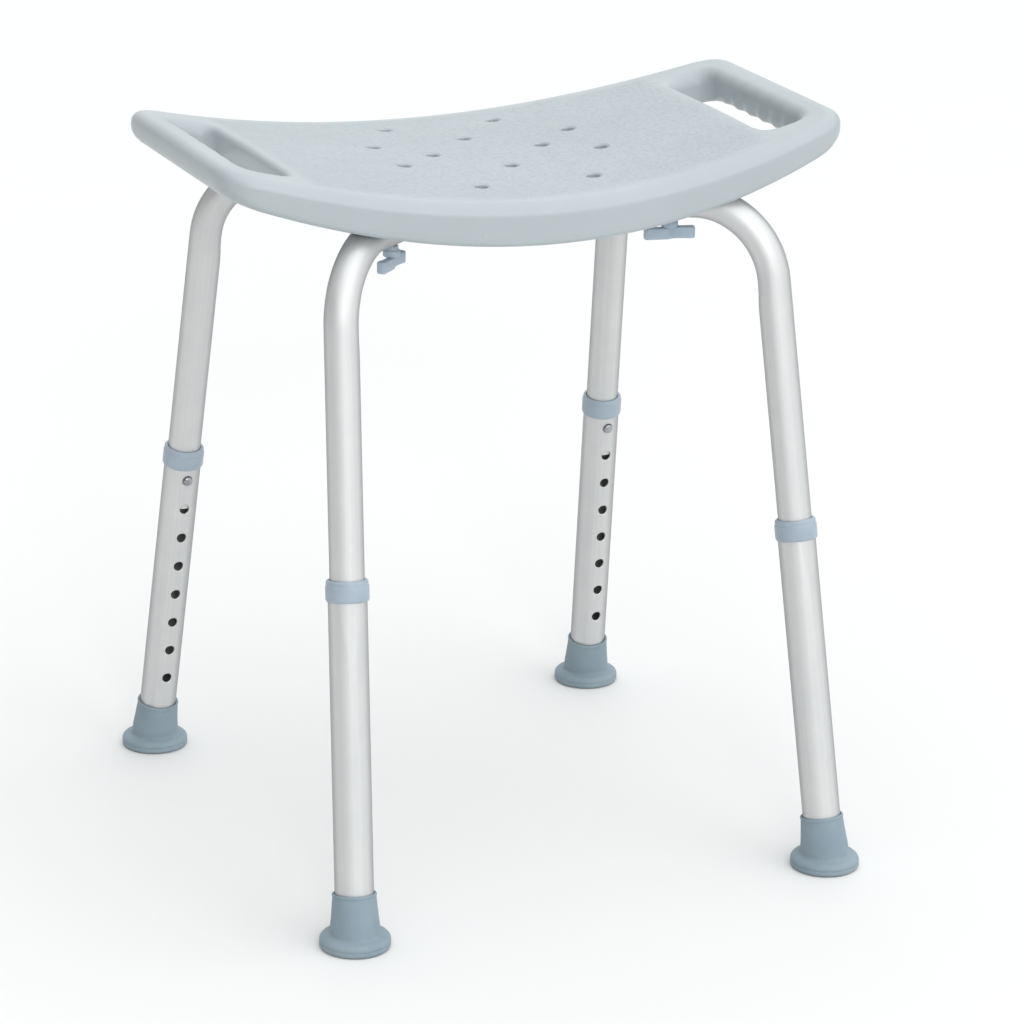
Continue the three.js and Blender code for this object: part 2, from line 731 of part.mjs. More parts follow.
// The rubber foot: a level pad on the floor and a socket that leans with the leg.
function rubberFoot(corner) {
  const padProfile = [
    [0, 0],
    [SOLE_RADIUS, 0],
    [PAD_RADIUS, 1],
    [PAD_RADIUS, PAD_EDGE],
    [PAD_RADIUS - 1.6, PAD_HEIGHT - 1.3],
    [PAD_RADIUS - 4.4, PAD_HEIGHT - 0.3],
    [0, PAD_HEIGHT],
  ];
  const socketProfile = [
    [0, SOCKET_BOTTOM],
    [SOCKET_LOW_RADIUS, SOCKET_BOTTOM],
    [SOCKET_LOW_RADIUS, PAD_HEIGHT + 1.6],
    [SOCKET_HIGH_RADIUS, FOOT_TOP - 1],
    [SOCKET_HIGH_RADIUS - 0.5, FOOT_TOP],
    [0, FOOT_TOP],
  ];
  const turn = legTurn(corner);
  const centre = legDirection(corner).multiplyScalar(10);
  const pad = solid(turned(padProfile).translate(centre.x, centre.y, 0));
  const socket = solid(turned(socketProfile).applyQuaternion(turn));
  const bore = bar(0, 0, SLEEVE_RADIUS + GAP, FOOT_BORE_BOTTOM, FOOT_TOP + 10, SIDES);
  const body = pad.add(socket).subtract(solid(bore.applyQuaternion(turn)));
  const mesh = part(`rubber_foot_${corner.name}`, body, rubber());
  mesh.position.copy(legOrigin(corner));
  return mesh;
}

// The steel washer that keeps the tube from cutting through the rubber.
function footWasher(name) {
  const low = FOOT_BORE_BOTTOM + GAP;
  const body = solid(ring(WASHER_BORE, WASHER_RADIUS, low, SLEEVE_BOTTOM - GAP));
  return part(`foot_washer_${name}`, body, steel());
}

function leg(corner) {
  const group = new THREE.Group();
  group.position.copy(legOrigin(corner));
  group.quaternion.copy(legTurn(corner));
  group.add(extensionTube(corner.name));
  group.add(collar(corner.name));
  group.add(snapButton(corner.name));
  group.add(buttonSpring(corner.name));
  group.add(footWasher(corner.name));
  return group;
}

// ------------------------------------------------------------------- assembly

const [frontLeft, frontRight, rearLeft, rearRight] = CORNERS;

const stool = new THREE.Group();
stool.add(seat());
stool.add(frameTube("frame_tube_upper", frontLeft, rearRight, 1));
stool.add(frameTube("frame_tube_lower", frontRight, rearLeft, -1));
stool.add(crossRivet());
for (const corner of CORNERS) {
  stool.add(seatInsert(corner));
  stool.add(knobStud(corner));
  stool.add(wingKnob(corner));
  stool.add(leg(corner));
  stool.add(rubberFoot(corner));
}

export default stool;
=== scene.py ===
"""Looks of the shower stool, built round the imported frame.

Sizes are in millimetres in the shape code, and meshes are written in metres.
"""

import math

import bmesh
import bpy
import numpy as np
from mathutils import Matrix, Vector
from mathutils.geometry import delaunay_2d_cdt


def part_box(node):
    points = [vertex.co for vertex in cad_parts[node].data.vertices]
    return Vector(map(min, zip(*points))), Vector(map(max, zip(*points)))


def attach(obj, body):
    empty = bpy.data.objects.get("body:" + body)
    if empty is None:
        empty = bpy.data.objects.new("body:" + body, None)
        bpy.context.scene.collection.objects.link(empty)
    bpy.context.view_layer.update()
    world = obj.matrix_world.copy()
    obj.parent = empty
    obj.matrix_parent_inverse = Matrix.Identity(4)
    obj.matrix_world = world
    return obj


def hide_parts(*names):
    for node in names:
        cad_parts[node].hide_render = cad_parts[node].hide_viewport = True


MM = 0.001

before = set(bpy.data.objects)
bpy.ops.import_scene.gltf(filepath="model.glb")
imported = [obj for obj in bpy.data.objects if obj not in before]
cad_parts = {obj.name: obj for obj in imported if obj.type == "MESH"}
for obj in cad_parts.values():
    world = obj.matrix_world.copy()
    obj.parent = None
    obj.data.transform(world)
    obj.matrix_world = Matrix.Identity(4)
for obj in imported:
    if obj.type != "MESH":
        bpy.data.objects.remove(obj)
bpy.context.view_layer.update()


def box_mm(node):
    low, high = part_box(node)
    return np.array(low) / MM, np.array(high) / MM


# ------------------------- dimensions

seat_low, seat_high = box_mm("seat")
HALF_LENGTH, HALF_DEPTH = seat_high[:2]
HALF_DEPTH_ENDS, SEAT_CORNER = 106.5, 24.0
SEAT_RISE, SEAT_CROWN = 39.0, 5.0
THICKNESS, THINNER_ENDS = 31.0, 7.5
RIM_Z = seat_low[2] + THICKNESS

HANDLE_X, HANDLE_WIDTH, HANDLE_LENGTH, HANDLE_CORNER = 207.0, 35.0, 160.0, 13.0
FINGER_PITCH, FINGER_HALF, FINGER_DEPTH = 21.0, 52.5, 2.3
# The rim's top edge on the long sides as (inset, drop) pairs, from the wall to the top face.
RIM_EDGE = [(0, 10.5), (0, 8.3), (0.15, 7.4), (0.6, 6.55), (1.25, 5.75), (2.2, 4.65)]
RIM_EDGE += [(3.2, 3.45), (4.4, 2.25), (5.6, 1.3), (7.2, 0.5), (9.4, 0)]

GRIP_ROUND = 12.0
HANDLE_TOP_ROUND, HANDLE_TOP_SWELL = 7.0, 4.5
HANDLE_LOW_ROUND, HANDLE_LOW_SWELL = 2.6, 7.2
# How much of the finger waves shows at the opening's top and bottom edge.
WAVE_TOP, WAVE_LOW = 0.3, 0.6

DRAIN_RADIUS, DRAIN_SIDES = 5.0, 28
DRAIN_TOP_ROUND, DRAIN_LOW_ROUND = 1.9, 0.8
DRAIN_QUARTER = [(45, 91), (80, 29.5), (44.5, 0), (0, 43.5)]

# The channels under the seat: widths at the crossing and along the arms, and their lengths.
CHANNEL_WIDE, CHANNEL_NARROW = 17.4, 13.1
CHANNEL_WIDE_END, CHANNEL_NARROW_START, CHANNEL_REACH = 66.0, 70.0, 174.0
CHANNEL_CLEARANCE, CHANNEL_SLOPE = 0.3, 1.2

# The pebbled texture fades out this far from the rim and towards the grips.
GRAIN_INSET, GRAIN_FADE = 17.0, 4.0
GRAIN_END, GRAIN_END_FADE = 184.0, 6.0

# Mesh spacings.
RIM_SPACING, CHANNEL_SPACING, WING_SPACING = 4.2, 3.4, 0.9
TOP_SPACING, UNDERSIDE_SPACING = 7.0, 8.0
ROW_PITCH = 0.866

FOOT_X, FOOT_Y = 193.2, 215.4
LEAN_X, LEAN_Y = 0.046, 0.177
RUN_Z = 497.5
BEND_RADIUS = 64.0
TUBE_RADIUS, TUBE_WALL = 12.7, 1.2
TUBE_END = 219.6
FLAT_HALF, FLAT_BLEND = 30.0, 32.0
FLAT_HALF_HEIGHT, FLAT_HALF_WIDTH, FLAT_OFFSET = 5.2, 17.0, 5.35
RUN_STATIONS = (80, 100, 120, 140)
BEND_DENT = 0.075
TUBE_SIDES, BEND_STEPS = 56, 26
KNOB_REACH, STUD_HOLE_RADIUS = 140.0, 3.6

SLEEVE_RADIUS, SLEEVE_WALL = 14.3, 1.2
SLEEVE_BOTTOM, SLEEVE_TOP = 11.0, 266.9
SLEEVE_SIDES = 64
TOP_HOLE, HOLE_PITCH, HOLE_COUNT, HOLE_RADIUS = 245.0, 25.4, 8, 4.0
# Each hole's lip and the support ring round it, in its radius, and the lip's depth at each skin.
HOLE_LIP, HOLE_SUPPORT, HOLE_CLEAR = 0.3, 0.9, 1.5
LIP_OUTSIDE, LIP_BORE = 0.25, 0.15
BUTTON_RADIUS, BUTTON_SHOULDER_RADIUS = 3.7, 4.8
BUTTON_BACK, BUTTON_SHOULDER, BUTTON_NECK, BUTTON_DOME = 8.8, 9.6, 15.2, 1.7
COLLAR_BOTTOM, COLLAR_TOP, COLLAR_RADIUS = 254.0, 269.6, 15.9

# The foot's rings as (radius, height) pairs: sole with tread grooves, edge, fillet, socket.
FOOT_SOLE = [(3, 0.9), (7, 0.9), (7.4, 0), (11, 0), (11.4, 0.9), (13.6, 0.9), (14, 0), (17.6, 0)]
FOOT_SOLE += [(18, 0.9), (20.2, 0.9), (20.6, 0), (24.6, 0)]
FOOT_EDGE = [(25.3, 0.15), (25.85, 0.55), (26.1, 1.2), (26.1, 3.6), (25.8, 3.9), (25.8, 4.3)]
FOOT_EDGE += [(26.1, 4.6), (26.1, 5.1), (25.95, 5.9), (25.4, 7.0), (24.4, 8.0), (22.8, 8.8)]
FOOT_EDGE += [(20.8, 9.25)]
FOOT_FILLET = [(19.5, 9.5), (18.85, 10.0), (18.5, 10.9), (18.3, 12.4)]
FOOT_SOCKET = [(18.0, 17), (17.4, 22), (16.75, 29), (16.15, 36), (16.05, 37.2), (16.3, 37.6)]
FOOT_SOCKET += [(16.45, 38.2), (16.35, 38.9), (15.95, 39.4), (15.5, 39.6), (15.0, 39.45)]
FOOT_SOCKET += [(14.7, 39.0), (14.6, 38.2), (14.6, 28), (14.6, 9.0)]
FOOT_SIDES = 80
PAD_SHIFT = 10.0
WING_LOW, WING_HIGH, WING_HALF = 467.2, 476.2, 19.5
WING_THICK, WING_OFFSET, WING_SOFT = 3.7, 1.5, 1.2
# The knob's hub and the rivet's head as (radius, height) pairs.
HUB = [(3.2, -0.6), (5.6, 0), (6.4, 0.8), (6.4, 4.2), (5.9, 5.0), (5.1, 5.3)]
RIVET_HEAD = [(4, 0), (8, 0), (8, 0.5), (7.4, 1.0), (5.6, 1.5), (3, 1.82), (0, 1.9)]

# Each corner's side, front or rear, and its knob's turn in degrees.
CORNERS = {
    "front_left": (-1, -1, 38),
    "front_right": (1, -1, -17),
    "rear_left": (-1, 1, 64),
    "rear_right": (1, 1, -41),
}


# ------------------------- mesh tools


def make_object(name, verts, faces, material, uvs=None, grain=None):
    """A mesh object from points in millimetres, with its normals turned outwards."""
    mesh = bpy.data.meshes.new(name)
    mesh.from_pydata([tuple(v) for v in np.asarray(verts) * MM], [], [tuple(f) for f in faces])
    if uvs is not None:
        layer = mesh.uv_layers.new(name="along")
        loops = np.empty(len(mesh.loops), dtype=np.int64)
        mesh.loops.foreach_get("vertex_index", loops)
        layer.data.foreach_set("uv", np.asarray(uvs, dtype=np.float32)[loops].ravel())
    if grain is not None:
        attribute = mesh.attributes.new("grain", "FLOAT", "POINT")
        attribute.data.foreach_set("value", np.asarray(grain, dtype=np.float32))
    bm = bmesh.new()
    bm.from_mesh(mesh)
    bmesh.ops.recalc_face_normals(bm, faces=bm.faces)
    bm.to_mesh(mesh)
    bm.free()
    mesh.polygons.foreach_set("use_smooth", [True] * len(mesh.polygons))
    mesh.materials.append(material)
    obj = bpy.data.objects.new(name, mesh)
    bpy.context.scene.collection.objects.link(obj)
    return obj


def strips(rings, closed=True):
    """Quads between neighbouring rings of vertex numbers."""
    faces = []
    for low, high in zip(rings[:-1], rings[1:]):
        n = len(low)
        for i in range(n if closed else n - 1):
            j = (i + 1) % n
            faces.append((low[i], low[j], high[j], high[i]))
    return faces


def capped(numbers):
    """Strips between open rings, with a face over the first and last ring."""
    return strips(numbers) + [tuple(numbers[0][::-1]), tuple(numbers[-1])]


def offset_loop(loop, distance):
    """A closed plan loop moved to its left by a distance, per point or even."""
    ahead = np.roll(loop, -1, axis=0) - loop
    behind = loop - np.roll(loop, 1, axis=0)
    ahead /= np.linalg.norm(ahead, axis=1)[:, None]
    behind /= np.linalg.norm(behind, axis=1)[:, None]
    tangent = ahead + behind
    tangent /= np.linalg.norm(tangent, axis=1)[:, None]
    normal = np.stack([-tangent[:, 1], tangent[:, 0]], axis=1)
    return loop + normal * np.broadcast_to(np.asarray(distance, float), (len(loop),))[:, None]


def resample(loop, spacing):
    """The same closed loop with evenly spaced points."""
    closed = np.vstack([loop, loop[:1]])
    steps = np.linalg.norm(np.diff(closed, axis=0), axis=1)
    length = np.concatenate([[0], np.cumsum(steps)])
    count = max(8, int(round(length[-1] / spacing)))
    at = np.linspace(0, length[-1], count, endpoint=False)
    return np.stack([np.interp(at, length, closed[:, k]) for k in (0, 1)], axis=1)


def inside(points, loop):
    """Which plan points lie inside a closed loop."""
    x, y = points[:, 0][:, None], points[:, 1][:, None]
    a, b = loop, np.roll(loop, -1, axis=0)
    crosses = (a[:, 1] > y) != (b[:, 1] > y)
    with np.errstate(divide="ignore", invalid="ignore"):
        at = (b[:, 0] - a[:, 0]) * (y - a[:, 1]) / (b[:, 1] - a[:, 1]) + a[:, 0]
    return (np.sum(crosses & (x < at), axis=1) % 2).astype(bool)


def distance_to(points, loop):
    """Distance from each plan point to the nearest edge of a loop."""
    a, b = loop, np.roll(loop, -1, axis=0)
    edge = b - a
    best = np.full(len(points), 1e9)
    for start, along in zip(a, edge):
        t = np.clip((points - start) @ along / max(along @ along, 1e-12), 0, 1)
        best = np.minimum(best, np.linalg.norm(points - start - t[:, None] * along, axis=1))
    return best


def fill_plan(outer, holes, inner_loops, spacing, clear):
    """Triangles over a plan region, through given loops and a grid between them.

    Returns the points and triangles. The points start with the loops in order.
    """
    loops = [outer, *holes, *inner_loops]
    low, high = outer.min(axis=0), outer.max(axis=0)
    rows = []
    for r, y in enumerate(np.arange(low[1], high[1], spacing * ROW_PITCH)):
        xs = np.arange(low[0] + (r % 2) * spacing / 2, high[0], spacing)
        rows.append(np.stack([xs, np.full_like(xs, y)], axis=1))
    grid = np.vstack(rows)
    grid = grid[inside(grid, outer)]
    for loop in loops:
        grid = grid[distance_to(grid, loop) > clear]
    for hole in holes:
        grid = grid[~inside(grid, hole)]
    return triangulate(outer, holes, inner_loops, grid)


def triangulate(outer, holes, inner_loops, grid):
    """Constrained triangles through loops and loose points, without the holes."""
    loops = [outer, *holes, *inner_loops]
    points = np.vstack([*loops, grid])
    edges = []
    start = 0
    for loop in loops:
        n = len(loop)
        edges += [(start + i, start + (i + 1) % n) for i in range(n)]
        start += n
    made = delaunay_2d_cdt([Vector(p) for p in points], edges, [], 0, 1e-5)
    lost = [made[0][k] for k, ids in enumerate(made[3]) if not ids]
    if lost:
        raise ValueError(f"crossing loops at {lost[:6]}")
    number = [ids[0] for ids in made[3]]
    faces = np.array([[number[i] for i in f] for f in made[2]])
    middle = points[faces].mean(axis=1)
    keep = inside(middle, outer)
    for hole in holes:
        keep &= ~inside(middle, hole)
    return points, faces[keep]


def smooth_step(value, low, high):
    """0 below low and 1 above high, with a smooth turn between them."""
    share = np.clip((value - low) / (high - low), 0, 1)
    return share**2 * (3 - 2 * share)


def arc_shares(count):
    """Angles of a quarter round, from the wall to the face."""
    return np.linspace(0, math.pi / 2, count)


def ring_numbers(rings, sides):
    """The vertex numbers of stacked rings that follow each other."""
    return [list(range(k * sides, (k + 1) * sides)) for k in range(rings)]


def lathe(profile, sides):
    """Vertices and quads of a closed solid turned about Z from [radius, height] pairs."""
    angle = np.linspace(0, 2 * math.pi, sides, endpoint=False)
    verts, rings, faces = [], [], []
    for radius, height in profile:
        if radius < 1e-6:
            verts.append((0, 0, height))
            rings.append([len(verts) - 1])
            continue
        start = len(verts)
        verts += [(radius * math.cos(a), radius * math.sin(a), height) for a in angle]
        rings.append(list(range(start, start + sides)))
    for low, high in zip(rings[:-1], rings[1:]):
        for i in range(sides):
            j = (i + 1) % sides
            if len(low) == 1:
                faces.append((low[0], high[j], high[i]))
            elif len(high) == 1:
                faces.append((low[i], low[j], high[0]))
            else:
                faces.append((low[i], low[j], high[j], high[i]))
    return np.array(verts, float), faces


def round_profile(points, radii):
    """A profile whose inner corners are rounded by the given radii."""
    steps = 3
    points = [np.array(p, float) for p in points]
    out = [points[0]]
    for before, here, after, radius in zip(points[:-2], points[1:-1], points[2:], radii):
        if radius <= 0:
            out.append(here)
            continue
        into = (before - here) / np.linalg.norm(before - here)
        onto = (after - here) / np.linalg.norm(after - here)
        half = math.acos(np.clip(into @ onto, -1, 1)) / 2
        back = radius / math.tan(half)
        start, end = here + into * back, here + onto * back
        for i in range(steps + 1):
            t = i / steps
            out.append((1 - t) ** 2 * start + 2 * t * (1 - t) * here + t**2 * end)
    out.append(points[-1])
    return [tuple(p) for p in out]


# ------------------------- materials


class Look:
    """A Principled material and short ways to add nodes to it."""

    def __init__(self, name, **sockets):
        self.material = bpy.data.materials.new(name)
        self.material.use_nodes = True
        self.tree = self.material.node_tree
        self.shader = self.tree.nodes["Principled BSDF"]
        for key, value in sockets.items():
            self.shader.inputs[key.replace("_", " ")].default_value = value

    def node(self, kind, settings=None, **inputs):
        made = self.tree.nodes.new(kind)
        for key, value in (settings or {}).items():
            setattr(made, key, value)
        for key, value in inputs.items():
            self.plug(made.inputs[key.replace("_", " ")], value)
        return made

    def plug(self, socket, value):
        if isinstance(value, bpy.types.NodeSocket):
            self.tree.links.new(value, socket)
        else:
            socket.default_value = value

    def feed(self, name, output):
        self.tree.links.new(output, self.shader.inputs[name])

    def place(self, scale=(1, 1, 1), uv=False):
        coords = self.node("ShaderNodeTexCoord").outputs["UV" if uv else "Object"]
        return self.node("ShaderNodeMapping", Vector=coords, Scale=scale).outputs[0]

    def noise(self, place, scale, detail=2.0, roughness=0.5):
        made = self.node(
            "ShaderNodeTexNoise", Vector=place, Scale=scale, Detail=detail, Roughness=roughness
        )
        return made.outputs["Fac"]

    def cells(self, place, scale):
        settings = {"feature": "SMOOTH_F1"}
        made = self.node("ShaderNodeTexVoronoi", settings, Vector=place, Scale=scale)
        return made.outputs["Distance"]

    def attribute(self, name):
        return self.node("ShaderNodeAttribute", {"attribute_name": name}).outputs["Fac"]

    def remap(self, value, low, high, to_low=0.0, to_high=1.0):
        ends = {"From_Min": low, "From_Max": high, "To_Min": to_low, "To_Max": to_high}
        return self.node("ShaderNodeMapRange", Value=value, **ends).outputs[0]

    def math(self, operation, a, b=0.0):
        made = self.node("ShaderNodeMath", {"operation": operation})
        for socket, value in zip(made.inputs, (a, b)):
            self.plug(socket, value)
        return made.outputs[0]

    def blend(self, factor, a, b):
        made = self.node("ShaderNodeMix", {"data_type": "RGBA"})
        colours = [s for s in made.inputs if s.type == "RGBA"]
        self.tree.links.new(factor, made.inputs[0])
        for socket, value in zip(colours, (a, b)):
            self.plug(socket, (*value, 1) if isinstance(value, tuple) else value)
        return next(s for s in made.outputs if s.type == "RGBA")

    def bump(self, height, distance, strength=1.0, under=None):
        made = self.node(
            "ShaderNodeBump", Height=height, Distance=distance, Strength=strength
        )
        if under is not None:
            self.tree.links.new(under, made.inputs["Normal"])
        return made.outputs[0]


def linear(red, green, blue):
    """A screen colour of 0 to 255 as linear light."""
    return tuple(
        c / 12.92 if c <= 0.04045 else ((c + 0.055) / 1.055) ** 2.4
        for c in (red / 255, green / 255, blue / 255)
    )


def seat_look():
    """Moulded plastic, smooth at the rim and grips and pebbled where the grain attribute says, with
    painted shade darkening the pebbles' pits.
    """
    look = Look("seat_plastic", Metallic=0.0)
    look.shader.inputs["Specular IOR Level"].default_value = 0.42
    place = look.place()
    grain = look.attribute("grain")
    pebbles = look.noise(place, 260, 3.0, 0.6)
    dimples = look.cells(place, 300)
    height = look.math(
        "ADD", look.math("MULTIPLY", pebbles, 0.75), look.math("MULTIPLY", dimples, 0.5)
    )
    textured = look.math("MULTIPLY", height, grain)
    fine = look.noise(place, 600, 1.0)
    ripple = look.noise(place, 14, 1.0)
    patches = look.noise(place, 9, 3.0, 0.6)
    base = look.blend(
        look.remap(patches, 0.3, 0.7), linear(162, 170, 173), linear(167, 175, 178)
    )
    # Painted shade: the base colour darkens in the pebbles' pits, where shade falls.
    painted_pit_shade = look.math("MULTIPLY", look.remap(height, 0.42, 0.66, 1.0, 0.0), grain)
    shade = look.blend(look.math("MULTIPLY", painted_pit_shade, 0.42), base, linear(147, 155, 160))
    look.feed("Base Color", shade)
    worn = look.noise(place, 40, 1.0)
    rough = look.remap(worn, 0.0, 1.0, 0.25, 0.39)
    look.feed("Roughness", look.math("ADD", rough, look.math("MULTIPLY", grain, 0.16)))
    slow = look.bump(ripple, 0.0009, 0.6)
    skin = look.bump(fine, 0.00004, 0.5, slow)
    look.feed("Normal", look.bump(textured, 0.0008, 1.0, skin))
    return look.material


def plastic_look(name, colour, dark, roughness):
    """Smooth moulded plastic with a faint texture, handling marks and soft mottling."""
    look = Look(name, Metallic=0.0)
    look.shader.inputs["Specular IOR Level"].default_value = 0.45
    place = look.place()
    mottle = look.noise(place, 60, 3.0, 0.6)
    marks = look.noise(look.place((1, 1, 0.25)), 700, 3.0, 0.7)
    base = look.blend(look.remap(mottle, 0.32, 0.68), linear(*dark), linear(*colour))
    base = look.blend(look.remap(marks, 0.62, 0.8, 0.0, 0.4), base, linear(*dark))
    look.feed("Base Color", base)
    look.feed("Roughness", look.remap(mottle, 0.3, 0.7, roughness - 0.06, roughness + 0.06))
    soft = look.bump(mottle, 0.0004, 0.35)
    look.feed("Normal", look.bump(look.noise(place, 900, 2.0), 0.00005, 0.6, soft))
    return look.material


def rubber_look():
    """Matt rubber with a fine tooth, and a little pale dust near the floor."""
    look = Look("foot_rubber", Metallic=0.0)
    look.shader.inputs["Specular IOR Level"].default_value = 0.3
    look.shader.inputs["Sheen Weight"].default_value = 0.08
    place = look.place()
    mottle = look.noise(place, 45, 4.0, 0.65)
    height = look.node("ShaderNodeSeparateXYZ", Vector=place).outputs["Z"]
    low_down = look.remap(height, 0.0, 0.02, 1.0, 0.0)
    dusty = look.math("MULTIPLY", low_down, look.remap(mottle, 0.35, 0.65))
    dusty = look.math("MULTIPLY", dusty, 0.5)
    base = look.blend(look.remap(mottle, 0.3, 0.7), linear(122, 139, 149), linear(133, 149, 158))
    look.feed("Base Color", look.blend(dusty, base, linear(142, 153, 159)))
    look.feed("Roughness", look.remap(mottle, 0.3, 0.7, 0.58, 0.74))
    coarse = look.bump(mottle, 0.0006, 0.35)
    look.feed("Normal", look.bump(look.noise(place, 1300, 3.0, 0.7), 0.00009, 0.8, coarse))
    return look.material


def aluminium_look():
    """Satin anodised tube: fine lines drawn along it, faint haze, rub marks and painted shade
    darkening its edges.
    """
    look = Look("tube_aluminium", Metallic=0.7)
    look.shader.inputs["Anisotropic"].default_value = 0.25
    place = look.place(uv=True)
    drawn = look.noise(look.place((520, 3.2, 1), uv=True), 1.0, 3.0, 0.6)
    haze = look.noise(place, 26, 3.0, 0.6)
    base = look.blend(look.remap(haze, 0.3, 0.7), linear(205, 206, 206), linear(212, 212, 211))
    base = look.blend(look.remap(drawn, 0.35, 0.75, 0.0, 0.35), base, linear(194, 196, 197))
    rub = look.noise(look.place((60, 300, 1), uv=True), 1.0, 4.0, 0.75)
    base = look.blend(look.remap(rub, 0.66, 0.8, 0.0, 0.5), base, linear(184, 186, 188))
    # Painted shade: the base colour darkens towards the tube's edges as seen from the camera,
    # standing in for darker reflections there.
    painted_edge_shade_mask = look.node("ShaderNodeLayerWeight", Blend=0.5).outputs["Facing"]
    edge = look.remap(painted_edge_shade_mask, 0.35, 0.9, 0.0, 0.85)
    look.feed("Base Color", look.blend(edge, base, linear(140, 142, 144)))
    look.feed("Roughness", look.remap(drawn, 0.3, 0.7, 0.47, 0.57))
    look.feed("Normal", look.bump(drawn, 0.000012, 0.5))
    return look.material


def metal_look(name, colour, dark, roughness):
    """Bare metal with faint stains and fine scratches."""
    look = Look(name, Metallic=1.0)
    place = look.place()
    stain = look.noise(place, 220, 4.0, 0.7)
    scratch = look.noise(look.place((1, 1, 0.12)), 900, 3.0, 0.7)
    look.feed(
        "Base Color", look.blend(look.remap(stain, 0.35, 0.7), linear(*colour), linear(*dark))
    )
    look.feed("Roughness", look.remap(scratch, 0.3, 0.7, roughness - 0.05, roughness + 0.1))
    look.feed("Normal", look.bump(scratch, 0.00002, 0.5))
    return look.material


LOOKS = {
    "seat_plastic": seat_look(),
    "collar_plastic": plastic_look("collar_plastic", (155, 168, 179), (148, 161, 173), 0.36),
    "knob_plastic": plastic_look("knob_plastic", (166, 180, 192), (154, 169, 183), 0.42),
    "foot_rubber": rubber_look(),
    "tube_aluminium": aluminium_look(),
    "button_steel": metal_look("button_steel", (176, 177, 180), (140, 142, 146), 0.2),
    "plain_steel": metal_look("plain_steel", (200, 202, 205), (170, 173, 177), 0.3),
    "insert_brass": metal_look("insert_brass", (205, 176, 112), (170, 140, 84), 0.34),
}


def finish_piece(obj, slot, body, *nodes):
    """Hangs a piece on the body it rides on and hides the CAD nodes it stands for; the slot
    argument is not used.
    """
    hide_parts(*nodes)
    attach(obj, body)
    return obj


# ------------------------- seat shell


def saddle(x):
    """Height of the rim's top edge at a place along the seat."""
    return RIM_Z + SEAT_RISE * (x / HALF_LENGTH) ** 2


def edge_depth(x):
    """Half the seat's depth at a place along it."""
    return HALF_DEPTH - (HALF_DEPTH - HALF_DEPTH_ENDS) * (x / HALF_LENGTH) ** 2


def top_surface(p):
    x, y = p[:, 0], p[:, 1]
    across = np.minimum(1, np.abs(y) / edge_depth(x))
    along = np.minimum(1, np.abs(x) / HALF_LENGTH)
    return saddle(x) + SEAT_CROWN * (1 - across**2) * (1 - along**2)


def bottom_surface(p):
    return saddle(p[:, 0]) - THICKNESS + THINNER_ENDS * (p[:, 0] / HALF_LENGTH) ** 2


def bezier(a, b, c, steps):
    t = np.linspace(0, 1, steps, endpoint=False)[:, None]
    return (1 - t) ** 2 * np.array(a) + 2 * t * (1 - t) * np.array(b) + t**2 * np.array(c)


def seat_rim():
    """The seat's plan outline, anticlockwise."""
    corner_x = HALF_LENGTH - SEAT_CORNER
    corner_y = edge_depth(corner_x)
    slope = 2 * (HALF_DEPTH - HALF_DEPTH_ENDS) * corner_x / HALF_LENGTH**2
    tangent_y = corner_y - slope * SEAT_CORNER
    end_y = tangent_y - SEAT_CORNER
    xs = np.linspace(corner_x, -corner_x, 120, endpoint=False)
    half = [
        np.stack([xs, edge_depth(xs)], axis=1),
        bezier((-corner_x, corner_y), (-HALF_LENGTH, tangent_y), (-HALF_LENGTH, end_y), 24),
        np.linspace((-HALF_LENGTH, end_y), (-HALF_LENGTH, -end_y), 50, endpoint=False),
        bezier((-HALF_LENGTH, -end_y), (-HALF_LENGTH, -tangent_y), (-corner_x, -corner_y), 24),
    ]
    half = np.vstack(half)
    return resample(np.vstack([half, -half]), RIM_SPACING)


def handle_loop(side, wave):
    """A handle opening's plan loop, clockwise, with finger waves on its outer side."""
    inner, outer = HANDLE_X - HANDLE_WIDTH / 2, HANDLE_X + HANDLE_WIDTH / 2
    half, r = HANDLE_LENGTH / 2, HANDLE_CORNER
    quarter = np.linspace(0, math.pi / 2, 12, endpoint=False)

    def corner(cx, cy, start):
        return np.stack([cx + r * np.cos(start + quarter), cy + r * np.sin(start + quarter)], 1)

    long = np.linspace(-(half - r), half - r, 132, endpoint=False)
    wide = np.clip((half - r - np.abs(long)) / (half - r - FINGER_HALF), 0, 1)
    within = np.minimum(np.abs(long), FINGER_HALF)
    crest = 0.5 - 0.5 * np.cos(2 * math.pi * within / FINGER_PITCH)
    grip = np.stack([outer - FINGER_DEPTH * wave * wide * crest, long], axis=1)
    loop = np.vstack(
        [
            grip,
            corner(outer - r, half - r, 0),
            corner(inner + r, half - r, math.pi / 2),
            np.linspace((inner, half - r), (inner, -(half - r)), 66, endpoint=False),
            corner(inner + r, -(half - r), math.pi),
            corner(outer - r, -(half - r), 1.5 * math.pi),
        ]
    )
    if side < 0:
        return loop * (-1, 1)
    return loop[::-1]


def drain_places():
    return sorted({(sx * x, sy * y) for x, y in DRAIN_QUARTER for sx in (-1, 1) for sy in (-1, 1)})


def circle(cx, cy, radius, count):
    """A clockwise plan circle."""
    angle = -np.linspace(0, 2 * math.pi, count, endpoint=False)
    return np.stack([cx + radius * np.cos(angle), cy + radius * np.sin(angle)], axis=1)


def run_direction(name):
    sx, sy, _ = CORNERS[name]
    along = np.array([sx * (FOOT_X - LEAN_X * RUN_Z), sy * (FOOT_Y - LEAN_Y * RUN_Z), 0.0])
    return along / np.linalg.norm(along)


